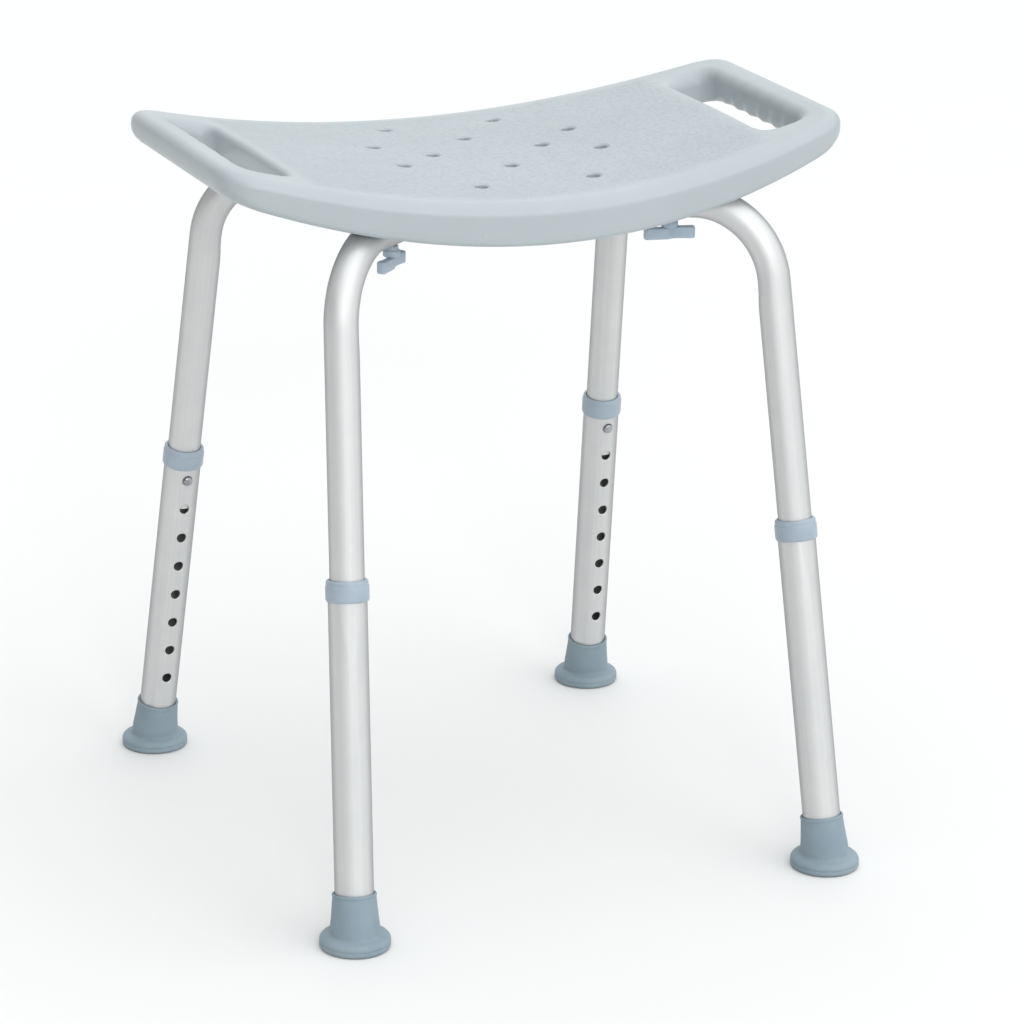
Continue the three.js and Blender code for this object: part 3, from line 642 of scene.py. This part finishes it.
def channel_loop():
    """The crossed channels' plan outline, anticlockwise, with wide middles and round ends."""
    cos, sin = run_direction("rear_right")[:2]
    wide, narrow = CHANNEL_WIDE, CHANNEL_NARROW
    cap = np.linspace(-math.pi / 2, math.pi / 2, 9)
    arm = [(CHANNEL_WIDE_END, -wide), (CHANNEL_NARROW_START, -narrow)]
    arm += [(CHANNEL_REACH + narrow * math.cos(a), narrow * math.sin(a)) for a in cap]
    arm += [(CHANNEL_NARROW_START, narrow), (CHANNEL_WIDE_END, wide)]
    turn = np.array([[cos, sin], [-sin, cos]])
    first = np.array(arm) @ turn
    second = (first * (-1, 1))[::-1]
    top, left = np.array([[0, wide / cos]]), np.array([[-wide / sin, 0]])
    half = np.vstack([first, top, second, left])
    return resample(np.vstack([half, -half]), CHANNEL_SPACING)


def fillet_rings(loop, radii, surface, rising, steps):
    """Rings of a quarter round between the wall and a face, wall first."""
    rings = []
    for angle in arc_shares(steps):
        at = offset_loop(loop, radii * (1 - math.cos(angle)))
        drop = radii * (1 - math.sin(angle))
        rings.append(np.column_stack([at, surface(at) + rising * drop]))
    return rings


def top_rings(loop, radii):
    """An opening's rounded top edge, wall first."""
    return fillet_rings(loop, radii, top_surface, -1, 7)


def rim_rings(rim, grip):
    """The rim's top edge, wall first: tight on the long sides, a plain round at the grips."""
    rings = []
    for angle, (inset, drop) in zip(arc_shares(len(RIM_EDGE)), RIM_EDGE):
        round_inset = GRIP_ROUND * (1 - math.cos(angle))
        round_drop = GRIP_ROUND * (1 - math.sin(angle))
        at = offset_loop(rim, inset + (round_inset - inset) * grip)
        rings.append(np.column_stack([at, top_surface(at) - drop - (round_drop - drop) * grip]))
    return rings


def seat_edges(rim):
    """Each edge loop of the seat as its lower plan loop, top rings and lower fillet's radii."""
    grip = smooth_step(np.abs(rim[:, 0]), HALF_LENGTH - 28, HALF_LENGTH - 1)
    edges = [(rim, rim_rings(rim, grip), 4 + 6 * grip)]
    half = HANDLE_LENGTH / 2
    for side in (-1, 1):
        upper, lower = handle_loop(side, WAVE_TOP), handle_loop(side, WAVE_LOW)
        across = np.abs(upper[:, 1])
        ends = smooth_step(across, half - 10, half - 1)
        broad = 1 - smooth_step(across, half - 26, half - 2)
        outer = smooth_step(np.abs(upper[:, 0]), HANDLE_X - 4, HANDLE_X + 10)
        down = top_rings(upper, HANDLE_TOP_ROUND + HANDLE_TOP_SWELL * ends)
        edges.append((lower, down, HANDLE_LOW_ROUND + HANDLE_LOW_SWELL * broad * outer))
    for x, y in drain_places():
        ring = circle(x, y, DRAIN_RADIUS, DRAIN_SIDES)
        down = top_rings(ring, np.full(DRAIN_SIDES, DRAIN_TOP_ROUND))
        edges.append((ring, down, np.full(DRAIN_SIDES, DRAIN_LOW_ROUND)))
    return edges


def seat_underside(edges):
    """The underside's points and triangles, with the tube channels sunk into it."""
    inner = channel_loop()
    outer = offset_loop(inner, -CHANNEL_SLOPE)
    points, triangles = seat_cap(edges, [outer, inner], UNDERSIDE_SPACING, bottom_surface)
    deep = inside(points[:, :2], inner) | (distance_to(points[:, :2], inner) < 0.05)
    ceiling = RUN_Z + TUBE_RADIUS + CHANNEL_CLEARANCE
    points[deep, 2] = np.maximum(points[deep, 2], ceiling)
    return points, triangles


def seat_shell():
    """The moulded seat: crowned top, rounded rim and grips, drains and tube channels."""
    rim = seat_rim()
    tops, bottoms, stacks = [], [], []
    for lower, down, bottom_radii in seat_edges(rim):
        up = fillet_rings(lower, bottom_radii, bottom_surface, 1, 5)
        tops.append(down[-1])
        bottoms.append(up[-1])
        walls = [down[0] * (1 - t) + up[0] * t for t in (0.25, 0.5, 0.75)]
        stacks.append(down[-2::-1] + walls + up[:-1])
    caps = [seat_cap(tops, [], TOP_SPACING, top_surface), seat_underside(bottoms)]

    verts, faces = [], []
    starts = (0, len(caps[0][0]))
    for start, (points, triangles) in zip(starts, caps):
        verts.append(points)
        faces += [tuple(start + i for i in t) for t in triangles]
    top, bottom = starts
    total = sum(len(v) for v in verts)
    for stack in stacks:
        n = len(stack[0])
        verts += stack
        firsts = [top, *range(total, total + n * len(stack), n), bottom]
        faces += strips([list(range(first, first + n)) for first in firsts])
        top += n
        bottom += n
        total += n * len(stack)
    verts = np.vstack(verts)
    on_top = np.arange(len(verts)) < len(caps[0][0])
    grain = grain_of(verts, rim, on_top)
    return make_object("seat_shell", verts, faces, LOOKS["seat_plastic"], grain=grain)


def grain_of(verts, rim, on_top):
    """How much of the pebbled texture each vertex shows: none near the rim and the grips."""
    plan = verts[:, :2]
    edge = np.clip((distance_to(plan, rim) - GRAIN_INSET) / GRAIN_FADE, 0, 1)
    ends = np.clip((GRAIN_END - np.abs(plan[:, 0])) / GRAIN_END_FADE, 0, 1)
    return edge * ends * on_top


def seat_cap(boundary, extra, spacing, surface):
    """Triangles of the seat's top or underside between its fillets, with support rings."""
    rim, *openings = [ring[:, :2] for ring in boundary]
    ends = np.clip((np.abs(rim[:, 0]) - 200) / 30, 0, 1)
    supports = [offset_loop(rim, 1.5 - 0.5 * ends), offset_loop(rim, 4.2 - 2.2 * ends)]
    supports += [offset_loop(handle, 1.3) for handle in openings[:2]]
    supports += [offset_loop(drain, 1.0) for drain in openings[2:]]
    points, triangles = fill_plan(rim, openings, supports + extra, spacing, spacing * 0.45)
    return np.column_stack([points, surface(points)]), triangles


# ------------------------- frame tubes


def leg_direction(name):
    """The way up a leg."""
    sx, sy, _ = CORNERS[name]
    along = np.array([-sx * LEAN_X, -sy * LEAN_Y, 1.0])
    return along / np.linalg.norm(along)


def leg_matrix(name):
    """The leg's own frame in millimetres: Z up the leg, -Y towards the stool's middle."""
    sx, sy, _ = CORNERS[name]
    tilt = Vector((0, 0, 1)).rotation_difference(Vector(leg_direction(name)))
    turn = Matrix.Rotation(math.pi if sy < 0 else 0, 4, "Z")
    place = Matrix.Translation((sx * FOOT_X, sy * FOOT_Y, 0))
    return np.array(place @ tilt.to_matrix().to_4x4() @ turn)


def in_leg(name, points):
    """Points of a leg's own frame, in the object's frame."""
    m = leg_matrix(name)
    return np.asarray(points) @ m[:3, :3].T + m[:3, 3]


def half_path(name):
    """Stations (point, tangent, bend centre direction, bent share) from the crossing down a leg."""
    out, down = run_direction(name), -leg_direction(name)
    turn = math.acos(out @ down)
    corner = out * np.hypot(FOOT_X - LEAN_X * RUN_Z, FOOT_Y - LEAN_Y * RUN_Z)
    reach = np.linalg.norm(corner) - BEND_RADIUS * math.tan(turn / 2)
    middle = np.array([0, 0, RUN_Z])
    inward = down - out * (out @ down)
    inward /= np.linalg.norm(inward)
    stations = []
    for distance in (*np.linspace(0, FLAT_HALF + FLAT_BLEND, 20), *RUN_STATIONS, reach - 12):
        stations.append((out * distance + middle, out, inward, 0.0))
    for angle in np.linspace(0, turn, BEND_STEPS):
        point = out * reach + middle + out * BEND_RADIUS * math.sin(angle)
        point = point + inward * BEND_RADIUS * (1 - math.cos(angle))
        tangent = out * math.cos(angle) + inward * math.sin(angle)
        centre = inward * math.cos(angle) - out * math.sin(angle)
        stations.append((point, tangent, centre, min(1.0, 5 * angle / turn)))
    end = stations[-1][0]
    foot = in_leg(name, [(0, 0, TUBE_END)])[0]
    centre = stations[-1][2]
    length = np.linalg.norm(foot - end)
    for distance, bent in ((4, 1.0), (9, 0.85), (14, 0.4), (20, 0.0), (40, 0.0)):
        stations.append((end + down * distance, down, centre, bent))
    for distance in np.linspace(60, length, 12):
        stations.append((end + down * distance, down, centre, 0.0))
    return stations


def frame_tube(piece, start, end, side):
    """One bent tube with a pressed-flat crossing, a hollow bore and faintly dented bends."""
    first = [(p, -t, c, b) for p, t, c, b in half_path(start)][::-1]
    stations = first[:-1] + half_path(end)
    along = run_direction(end)
    across = np.array([-along[1], along[0], 0])
    normal = np.array([0, 0, 1.0])
    outside, bore, uvs = [], [], []
    length = 0.0
    last = stations[0][0]
    angles = np.linspace(0, 2 * math.pi, TUBE_SIDES, endpoint=False)
    for point, tangent, centre, bent in stations:
        length += np.linalg.norm(point - last)
        last = point
        normal = normal - tangent * (normal @ tangent)
        normal /= np.linalg.norm(normal)
        other = np.cross(tangent, normal)
        ring_outside, ring_bore = [], []
        for a in angles:
            d = normal * math.cos(a) + other * math.sin(a)
            dent = BEND_DENT * bent * max(0.0, d @ centre) ** 1.5
            ring_outside.append(point + d * TUBE_RADIUS * (1 - dent))
            ring_bore.append(point + d * (TUBE_RADIUS * (1 - dent) - TUBE_WALL))
            uvs.append((a * TUBE_RADIUS * MM, length * MM))
        outside.append(press_flat(np.array(ring_outside), along, across, side))
        bore.append(press_flat(np.array(ring_bore), along, across, side))
    # One ring in the middle of the wall softens each cut end.
    first_end, last_end = [(outside[k] + bore[k]) / 2 for k in (0, -1)]
    rings = [*outside, last_end, *bore[::-1], first_end]
    verts = np.vstack(rings)
    numbers = ring_numbers(len(rings), TUBE_SIDES)
    faces = strips(numbers + numbers[:1])
    uv = np.zeros((len(verts), 2))
    uv[: len(uvs)] = uvs
    uv[len(uvs) :] = uvs[0]
    obj = make_object(piece, verts, faces, LOOKS["tube_aluminium"], uvs=uv)
    cutters = [button_hole(name) for name in (start, end)]
    cutters += [stud_hole(name) for name in (start, end)]
    return cut(obj, cutters)


def press_flat(ring, along, across, side):
    """Presses a ring of the tube flat where it crosses the other tube."""
    distance = ring @ along
    round_ = smooth_step(np.abs(distance), FLAT_HALF, FLAT_HALF + FLAT_BLEND)
    wide, high = ring @ across, ring[:, 2] - RUN_Z
    radius = np.hypot(wide, high)
    inset = TUBE_RADIUS - radius
    wider = (FLAT_HALF_WIDTH - inset) / radius * (1 - round_) + round_
    lower = (FLAT_HALF_HEIGHT - inset) / radius * (1 - round_) + round_
    flat = along * distance[:, None] + across * (wide * wider)[:, None]
    flat[:, 2] = RUN_Z + high * lower + side * FLAT_OFFSET * (1 - round_)
    near = round_ < 1
    out = ring.copy()
    out[near] = flat[near]
    return out


def drill(radius, low, high):
    return lathe([(0, low), (radius, low), (radius, high), (0, high)], 32)


def stud_hole(name):
    """An upright cutter through the tube for a knob's stud."""
    verts, faces = drill(STUD_HOLE_RADIUS, 440, 560)
    return verts + KNOB_REACH * run_direction(name), faces


def inward(verts):
    """A shape turned about Z, laid level at the button's height and pointing inwards."""
    return np.column_stack([verts[:, 0], -verts[:, 2], TOP_HOLE + verts[:, 1]])


def button_hole(name):
    """A round cutter from the leg's axis out through its inward side."""
    verts, faces = drill(HOLE_RADIUS, 2, 20)
    return in_leg(name, inward(verts)), faces


def cut(obj, cutters):
    """Cuts solids out of an object."""
    steel = LOOKS["plain_steel"]
    made = [make_object(f"cutter_{k}", *solid, steel) for k, solid in enumerate(cutters)]
    combine(obj, made, "DIFFERENCE")
    sharpen(obj)
    return obj


def combine(obj, others, operation):
    """Cuts other objects out of one or joins them to it, and keeps the result as plain mesh."""
    for other in others:
        modifier = obj.modifiers.new("combine", "BOOLEAN")
        modifier.operation = operation
        modifier.solver = "EXACT"
        modifier.object = other
    graph = bpy.context.evaluated_depsgraph_get()
    mesh = bpy.data.meshes.new_from_object(obj.evaluated_get(graph))
    obj.modifiers.clear()
    spent = [obj.data] + [other.data for other in others]
    obj.data = mesh
    for other in others:
        bpy.data.objects.remove(other)
    for data in spent:
        bpy.data.meshes.remove(data)
    mesh.name = obj.name


def sharpen(obj, degrees=38):
    """Keeps edges sharper than an angle crisp."""
    obj.data.set_sharp_from_angle(angle=math.radians(degrees))


# ------------------------- legs


def sleeve_plan(around, heights):
    """The outer tube's skin laid flat: outline, hole loops, points, triangles and row count."""
    centre = around / 2
    holes = [circle(centre, v, HOLE_RADIUS + HOLE_LIP, 32) for v in heights]
    supports = [circle(centre, v, HOLE_RADIUS + HOLE_SUPPORT, 32) for v in heights]
    us = np.arange(SLEEVE_SIDES + 1) * (around / SLEEVE_SIDES)
    rows = np.linspace(SLEEVE_BOTTOM, SLEEVE_TOP, 22)
    bottom = [(u, SLEEVE_BOTTOM) for u in us]
    right = [(around, v) for v in rows[1:]]
    top = [(u, SLEEVE_TOP) for u in us[-2::-1]]
    left = [(0, v) for v in rows[-2:0:-1]]
    outline = np.array(bottom + right + top + left, float)
    far = [(u, v) for u in us[1:-1] for v in rows[1:-1] if abs(u - centre) > 9]
    near_rows = np.arange(SLEEVE_BOTTOM + 3, SLEEVE_TOP - 2, 3.2)
    near = [(u, v) for u in us if abs(u - centre) <= 9 for v in near_rows]
    grid = np.array(far + near)
    for v in heights:
        grid = grid[np.hypot(*(grid - (centre, v)).T) > HOLE_RADIUS + HOLE_CLEAR]
    points, triangles = triangulate(outline, holes, supports, grid)
    return outline, holes, points, triangles, len(rows)


def extension_tube(name):
    """The outer tube, made flat and rolled up, with eight deburred holes in its inward side."""
    around = 2 * math.pi * SLEEVE_RADIUS
    centre = around / 2
    heights = [TOP_HOLE - i * HOLE_PITCH for i in range(HOLE_COUNT)]
    outline, holes, points, triangles, rows = sleeve_plan(around, heights)

    def roll(plan, radius):
        angle = (plan[:, 0] - centre) / SLEEVE_RADIUS - math.pi / 2
        return np.column_stack([radius * np.cos(angle), radius * np.sin(angle), plan[:, 1]])

    inner_radius = SLEEVE_RADIUS - SLEEVE_WALL
    verts = [roll(points, SLEEVE_RADIUS), roll(points, inner_radius)]
    count = len(points)
    faces = [tuple(t) for t in triangles] + [tuple(count + i for i in t[::-1]) for t in triangles]
    total, start = 2 * count, len(outline)
    for loop in holes:
        n = len(loop)
        middle = loop.mean(axis=0)
        lip = middle + (loop - middle) * (HOLE_RADIUS / (HOLE_RADIUS + HOLE_LIP))
        verts += [roll(lip, SLEEVE_RADIUS - LIP_OUTSIDE), roll(lip, inner_radius + LIP_BORE)]
        firsts = (start, total, total + n, count + start)
        faces += strips([list(range(first, first + n)) for first in firsts])
        total += 2 * n
        start += n
    top_start = SLEEVE_SIDES + rows - 1
    for first in (0, top_start):
        for i in range(first, first + SLEEVE_SIDES):
            faces.append((i, i + 1, count + i + 1, count + i))
    verts = np.vstack(verts)
    uv = np.full((len(verts), 2), (centre * MM, TOP_HOLE * MM))
    uv[: 2 * count] = np.tile(points * MM, (2, 1))
    look = LOOKS["tube_aluminium"]
    obj = make_object(f"leg_tube_{name}", in_leg(name, verts), faces, look, uvs=uv)
    bm = bmesh.new()
    bm.from_mesh(obj.data)
    bmesh.ops.remove_doubles(bm, verts=bm.verts, dist=0.00001)
    bmesh.ops.recalc_face_normals(bm, faces=bm.faces)
    bm.to_mesh(obj.data)
    bm.free()
    sharpen(obj)
    return obj


def collar(name):
    """The moulded collar: a band with a stepped lip and softened edges."""
    bore, lip = SLEEVE_RADIUS + 0.3, TUBE_RADIUS + 0.35
    low, top, out = COLLAR_BOTTOM, COLLAR_TOP, COLLAR_RADIUS
    points = [
        (bore, low + 3),
        (bore, low),
        (out - 0.5, low),
        (out, low + 1.4),
        (out, top - 4.4),
        (out - 0.55, top - 4.0),
        (out - 0.55, top - 1.2),
        (out - 1.7, top),
        (lip, top),
        (lip, SLEEVE_TOP + 0.3),
        (bore, SLEEVE_TOP + 0.3),
        (bore, low + 3),
    ]
    radii = [0.2, 0.35, 0.6, 0.25, 0.2, 0.5, 0.8, 0.3, 0.2, 0.2]
    verts, faces = lathe(round_profile(points, radii), 72)
    look = LOOKS["collar_plastic"]
    return make_object(f"collar_band_{name}", in_leg(name, verts), faces, look)


def snap_button(name):
    """The domed button with its shoulder, in the leg's frame."""
    radius, wide = BUTTON_RADIUS, BUTTON_SHOULDER_RADIUS
    profile = [(0, BUTTON_BACK), (wide, BUTTON_BACK), (wide, BUTTON_SHOULDER)]
    profile += [(radius, BUTTON_SHOULDER), (radius, BUTTON_NECK)]
    for angle in np.linspace(0.12, math.pi / 2, 9)[:-1]:
        height = BUTTON_NECK + BUTTON_DOME * math.sin(angle)
        profile.append((radius * math.cos(angle), height))
    profile.append((0, BUTTON_NECK + BUTTON_DOME))
    verts, faces = lathe(profile, 40)
    place = in_leg(name, inward(verts))
    obj = make_object(f"button_{name}", place, faces, LOOKS["button_steel"])
    sharpen(obj)
    return obj


def rubber_foot(name):
    """The foot: a level pad with tread rings, flowing into a socket that leans with the leg."""
    angle = np.linspace(0, 2 * math.pi, FOOT_SIDES, endpoint=False)
    sx, sy, _ = CORNERS[name]
    lean = leg_direction(name)
    origin = np.array([sx * FOOT_X, sy * FOOT_Y, 0])
    centre = origin + lean * (1, 1, 0) * PAD_SHIFT
    m = leg_matrix(name)
    right, back = m[:3, 0], m[:3, 1]
    turn = math.atan2(right[1], right[0])
    cos, sin = np.cos(angle - turn)[:, None], np.sin(angle - turn)[:, None]

    def flat(radius, z, middle=centre):
        x, y = middle[0] + radius * np.cos(angle), middle[1] + radius * np.sin(angle)
        return np.column_stack([x, y, np.full(FOOT_SIDES, z)])

    def level(radius, z):
        return flat(radius, z, origin + lean * z / lean[2])

    def leaning(radius, height):
        return origin + lean * height + radius * (right * cos + back * sin)

    rings = [flat(*ring) for ring in FOOT_SOLE + FOOT_EDGE]
    rings += [level(*ring) for ring in FOOT_FILLET]
    rings += [leaning(*ring) for ring in FOOT_SOCKET]
    faces = capped(ring_numbers(len(rings), FOOT_SIDES))
    obj = make_object(f"foot_{name}", np.vstack(rings), faces, LOOKS["foot_rubber"])
    sharpen(obj, 50)
    return obj


# ------------------------- fixings


def wing_outline():
    """The knob's plan shape: two offset paddles that swell at their tips."""
    half, low, high = WING_HALF, WING_OFFSET - WING_THICK, WING_OFFSET + WING_THICK
    right = [(2.0, low + 0.4), (8, low + 1.0), (12, low + 0.8), (half - 2.6, low)]
    right += [(half - 0.7, low + 0.8), (half, low + 2.5), (half, high - 2.5)]
    right += [(half - 0.7, high - 0.8), (half - 2.6, high), (12, high - 0.5)]
    right += [(6, high - 0.7), (1.5, high - 1.2)]
    right = np.array(right)
    return resample(np.vstack([right, -right]), WING_SPACING)


def wing_knob(name):
    """The wing knob: a paddle bar with soft edges under a stepped round hub."""
    outline = wing_outline()
    rings = []
    for share, start, way in ((-1, WING_LOW, 1), (1, WING_HIGH, -1)):
        for angle in arc_shares(5)[::share]:
            at = offset_loop(outline, WING_SOFT * (1 - math.cos(angle)))
            height = start + way * WING_SOFT * (1 - math.sin(angle))
            rings.append(np.column_stack([at, np.full(len(at), height)]))
    paddles = np.vstack(rings), capped(ring_numbers(len(rings), len(outline)))
    hub_top = RUN_Z - TUBE_RADIUS - 0.3
    profile = [(0, WING_LOW + 1), (HUB[0][0], WING_LOW + 1)]
    profile += [(r, WING_HIGH + z) for r, z in HUB]
    hub = lathe(profile + [(5.0, hub_top - 0.5), (4.6, hub_top), (0, hub_top)], 48)
    place = KNOB_REACH * run_direction(name)
    spin = math.radians(CORNERS[name][2])
    across = np.array([math.cos(spin), math.sin(spin), 0])
    turn = np.array([across, (-across[1], across[0], 0), (0, 0, 1)])
    look = LOOKS["knob_plastic"]
    knob, spare = [
        make_object(f"{part}_{name}", verts @ turn + place, faces, look)
        for part, (verts, faces) in (("knob", paddles), ("hub", hub))
    ]
    combine(knob, [spare], "UNION")
    sharpen(knob, 45)
    return knob


def crossing_rivet():
    """The rivet through both flattened tubes, with a low domed head at each end."""
    reach = FLAT_OFFSET + FLAT_HALF_HEIGHT + 0.3
    head = [(r, reach + z) for r, z in RIVET_HEAD]
    profile = [(r, RUN_Z - z) for r, z in head[::-1]] + [(r, RUN_Z + z) for r, z in head]
    verts, faces = lathe(profile, 48)
    obj = make_object("crossing_rivet", verts, faces, LOOKS["plain_steel"])
    sharpen(obj)
    return obj


# ------------------------- the pieces

finish_piece(seat_shell(), "seat_plastic", "chassis", "seat")
upper = frame_tube("bent_tube_upper", "front_left", "rear_right", 1)
finish_piece(upper, "tube_aluminium", "chassis", "frame_tube_upper")
lower = frame_tube("bent_tube_lower", "front_right", "rear_left", -1)
finish_piece(lower, "tube_aluminium", "chassis", "frame_tube_lower")
finish_piece(crossing_rivet(), "plain_steel", "chassis", "cross_rivet")
for corner in CORNERS:
    leg = f"leg_{corner}"
    finish_piece(extension_tube(corner), "tube_aluminium", leg, f"extension_tube_{corner}")
    finish_piece(collar(corner), "collar_plastic", leg, f"collar_{corner}")
    finish_piece(rubber_foot(corner), "foot_rubber", leg, f"rubber_foot_{corner}")
    button = snap_button(corner)
    finish_piece(button, "button_steel", f"button_{corner}", f"snap_button_{corner}")
    finish_piece(wing_knob(corner), "knob_plastic", f"knob_{corner}", f"wing_knob_{corner}")

# Inner pieces stay as their CAD nodes, with their own metals.
for kind in ("seat_insert", "knob_stud", "button_spring", "foot_washer"):
    metal = LOOKS["insert_brass" if kind == "seat_insert" else "plain_steel"]
    for corner in CORNERS:
        for material_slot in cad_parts[f"{kind}_{corner}"].material_slots:
            material_slot.material = metal


# ------------------------- floor, lights and camera


def stage_floor():
    """A plain pale floor, slightly mottled, larger than the camera sees."""
    look = Look("stage_floor", Metallic=0.0, Roughness=0.9)
    look.shader.inputs["Specular IOR Level"].default_value = 0.1
    haze = look.noise(look.place(), 3.0, 3.0)
    look.feed("Base Color", look.blend(haze, (0.71, 0.71, 0.705), (0.72, 0.72, 0.715)))
    half = 12000.0
    verts = [(-half, -half, -0.5), (half, -half, -0.5), (half, half, -0.5), (-half, half, -0.5)]
    floor = make_object("floor", verts, [(0, 1, 2, 3)], look.material)


def soft_light(name, location, aim, width, height, power):
    data = bpy.data.lights.new(name, "AREA")
    data.shape = "RECTANGLE"
    data.size, data.size_y = width, height
    data.energy = power
    light = bpy.data.objects.new(name, data)
    light.location = location
    light.rotation_mode = "QUATERNION"
    light.rotation_quaternion = (Vector(aim) - Vector(location)).to_track_quat("-Z", "Y")
    bpy.context.scene.collection.objects.link(light)


DOME_ZENITH, DOME_HORIZON = 2.35, 0.93
DOME_LEFT, DOME_RIGHT = 0.2, 0.5
DOME_FRONT, DOME_BACK = 1.3, 0.9
DOME_COLOUR = (0.975, 0.99, 1.0, 1)
FRONT_POWER = 130

CAMERA_PLACE = (-1.29662771, -2.89856096, 1.31937448)
CAMERA_BACK = (-0.39277379, -0.86148651, 0.32182253)
CAMERA_RIGHT = (0.91169771, -0.41064138, 0.01345139)
CAMERA_LENS = 153.54


def studio():
    """A bright dome, strongest overhead and in front, and one large soft light by the camera."""
    world = bpy.data.worlds.new("studio")
    world.use_nodes = True
    tree = world.node_tree
    background = tree.nodes["Background"]
    coords = tree.nodes.new("ShaderNodeTexCoord")
    split = tree.nodes.new("ShaderNodeSeparateXYZ")
    tree.links.new(coords.outputs["Generated"], split.inputs[0])

    def falloff(axis, low, high, at_low, at_high):
        """A strength that changes evenly along one axis of the view direction."""
        node = tree.nodes.new("ShaderNodeMapRange")
        node.inputs["From Min"].default_value = low
        node.inputs["From Max"].default_value = high
        node.inputs["To Min"].default_value = at_low
        node.inputs["To Max"].default_value = at_high
        tree.links.new(split.outputs[axis], node.inputs["Value"])
        return node.outputs[0]

    strength = falloff("Z", 0.0, 1.0, DOME_HORIZON, DOME_ZENITH)
    sides = (
        falloff("X", -1.0, 0.3, DOME_LEFT, 1.0),
        falloff("X", 0.4, 1.0, 1.0, DOME_RIGHT),
        falloff("Y", -0.9, 0.3, DOME_FRONT, DOME_BACK),
    )
    for factor in sides:
        both = tree.nodes.new("ShaderNodeMath")
        both.operation = "MULTIPLY"
        tree.links.new(strength, both.inputs[0])
        tree.links.new(factor, both.inputs[1])
        strength = both.outputs[0]
    tree.links.new(strength, background.inputs["Strength"])
    background.inputs["Color"].default_value = DOME_COLOUR
    bpy.context.scene.world = world
    soft_light("front", (-2.2, -8.0, 3.7), (0, 0, 0.25), 2.2, 1.7, FRONT_POWER)
    view = bpy.context.scene.view_settings
    view.view_transform = "Standard"
    view.look = "None"


def photo_camera():
    """The camera, solved from the photograph."""
    data = bpy.data.cameras.new("camera")
    data.lens = CAMERA_LENS
    data.sensor_width = 36
    data.clip_end = 60
    camera = bpy.data.objects.new("camera", data)
    back, right = Vector(CAMERA_BACK), Vector(CAMERA_RIGHT)
    up = back.cross(right)
    camera.location = CAMERA_PLACE
    camera.rotation_mode = "QUATERNION"
    camera.rotation_quaternion = Matrix((right, up, back)).transposed().to_quaternion()
    bpy.context.scene.collection.objects.link(camera)
    bpy.context.scene.camera = camera


stage_floor()
studio()
photo_camera()
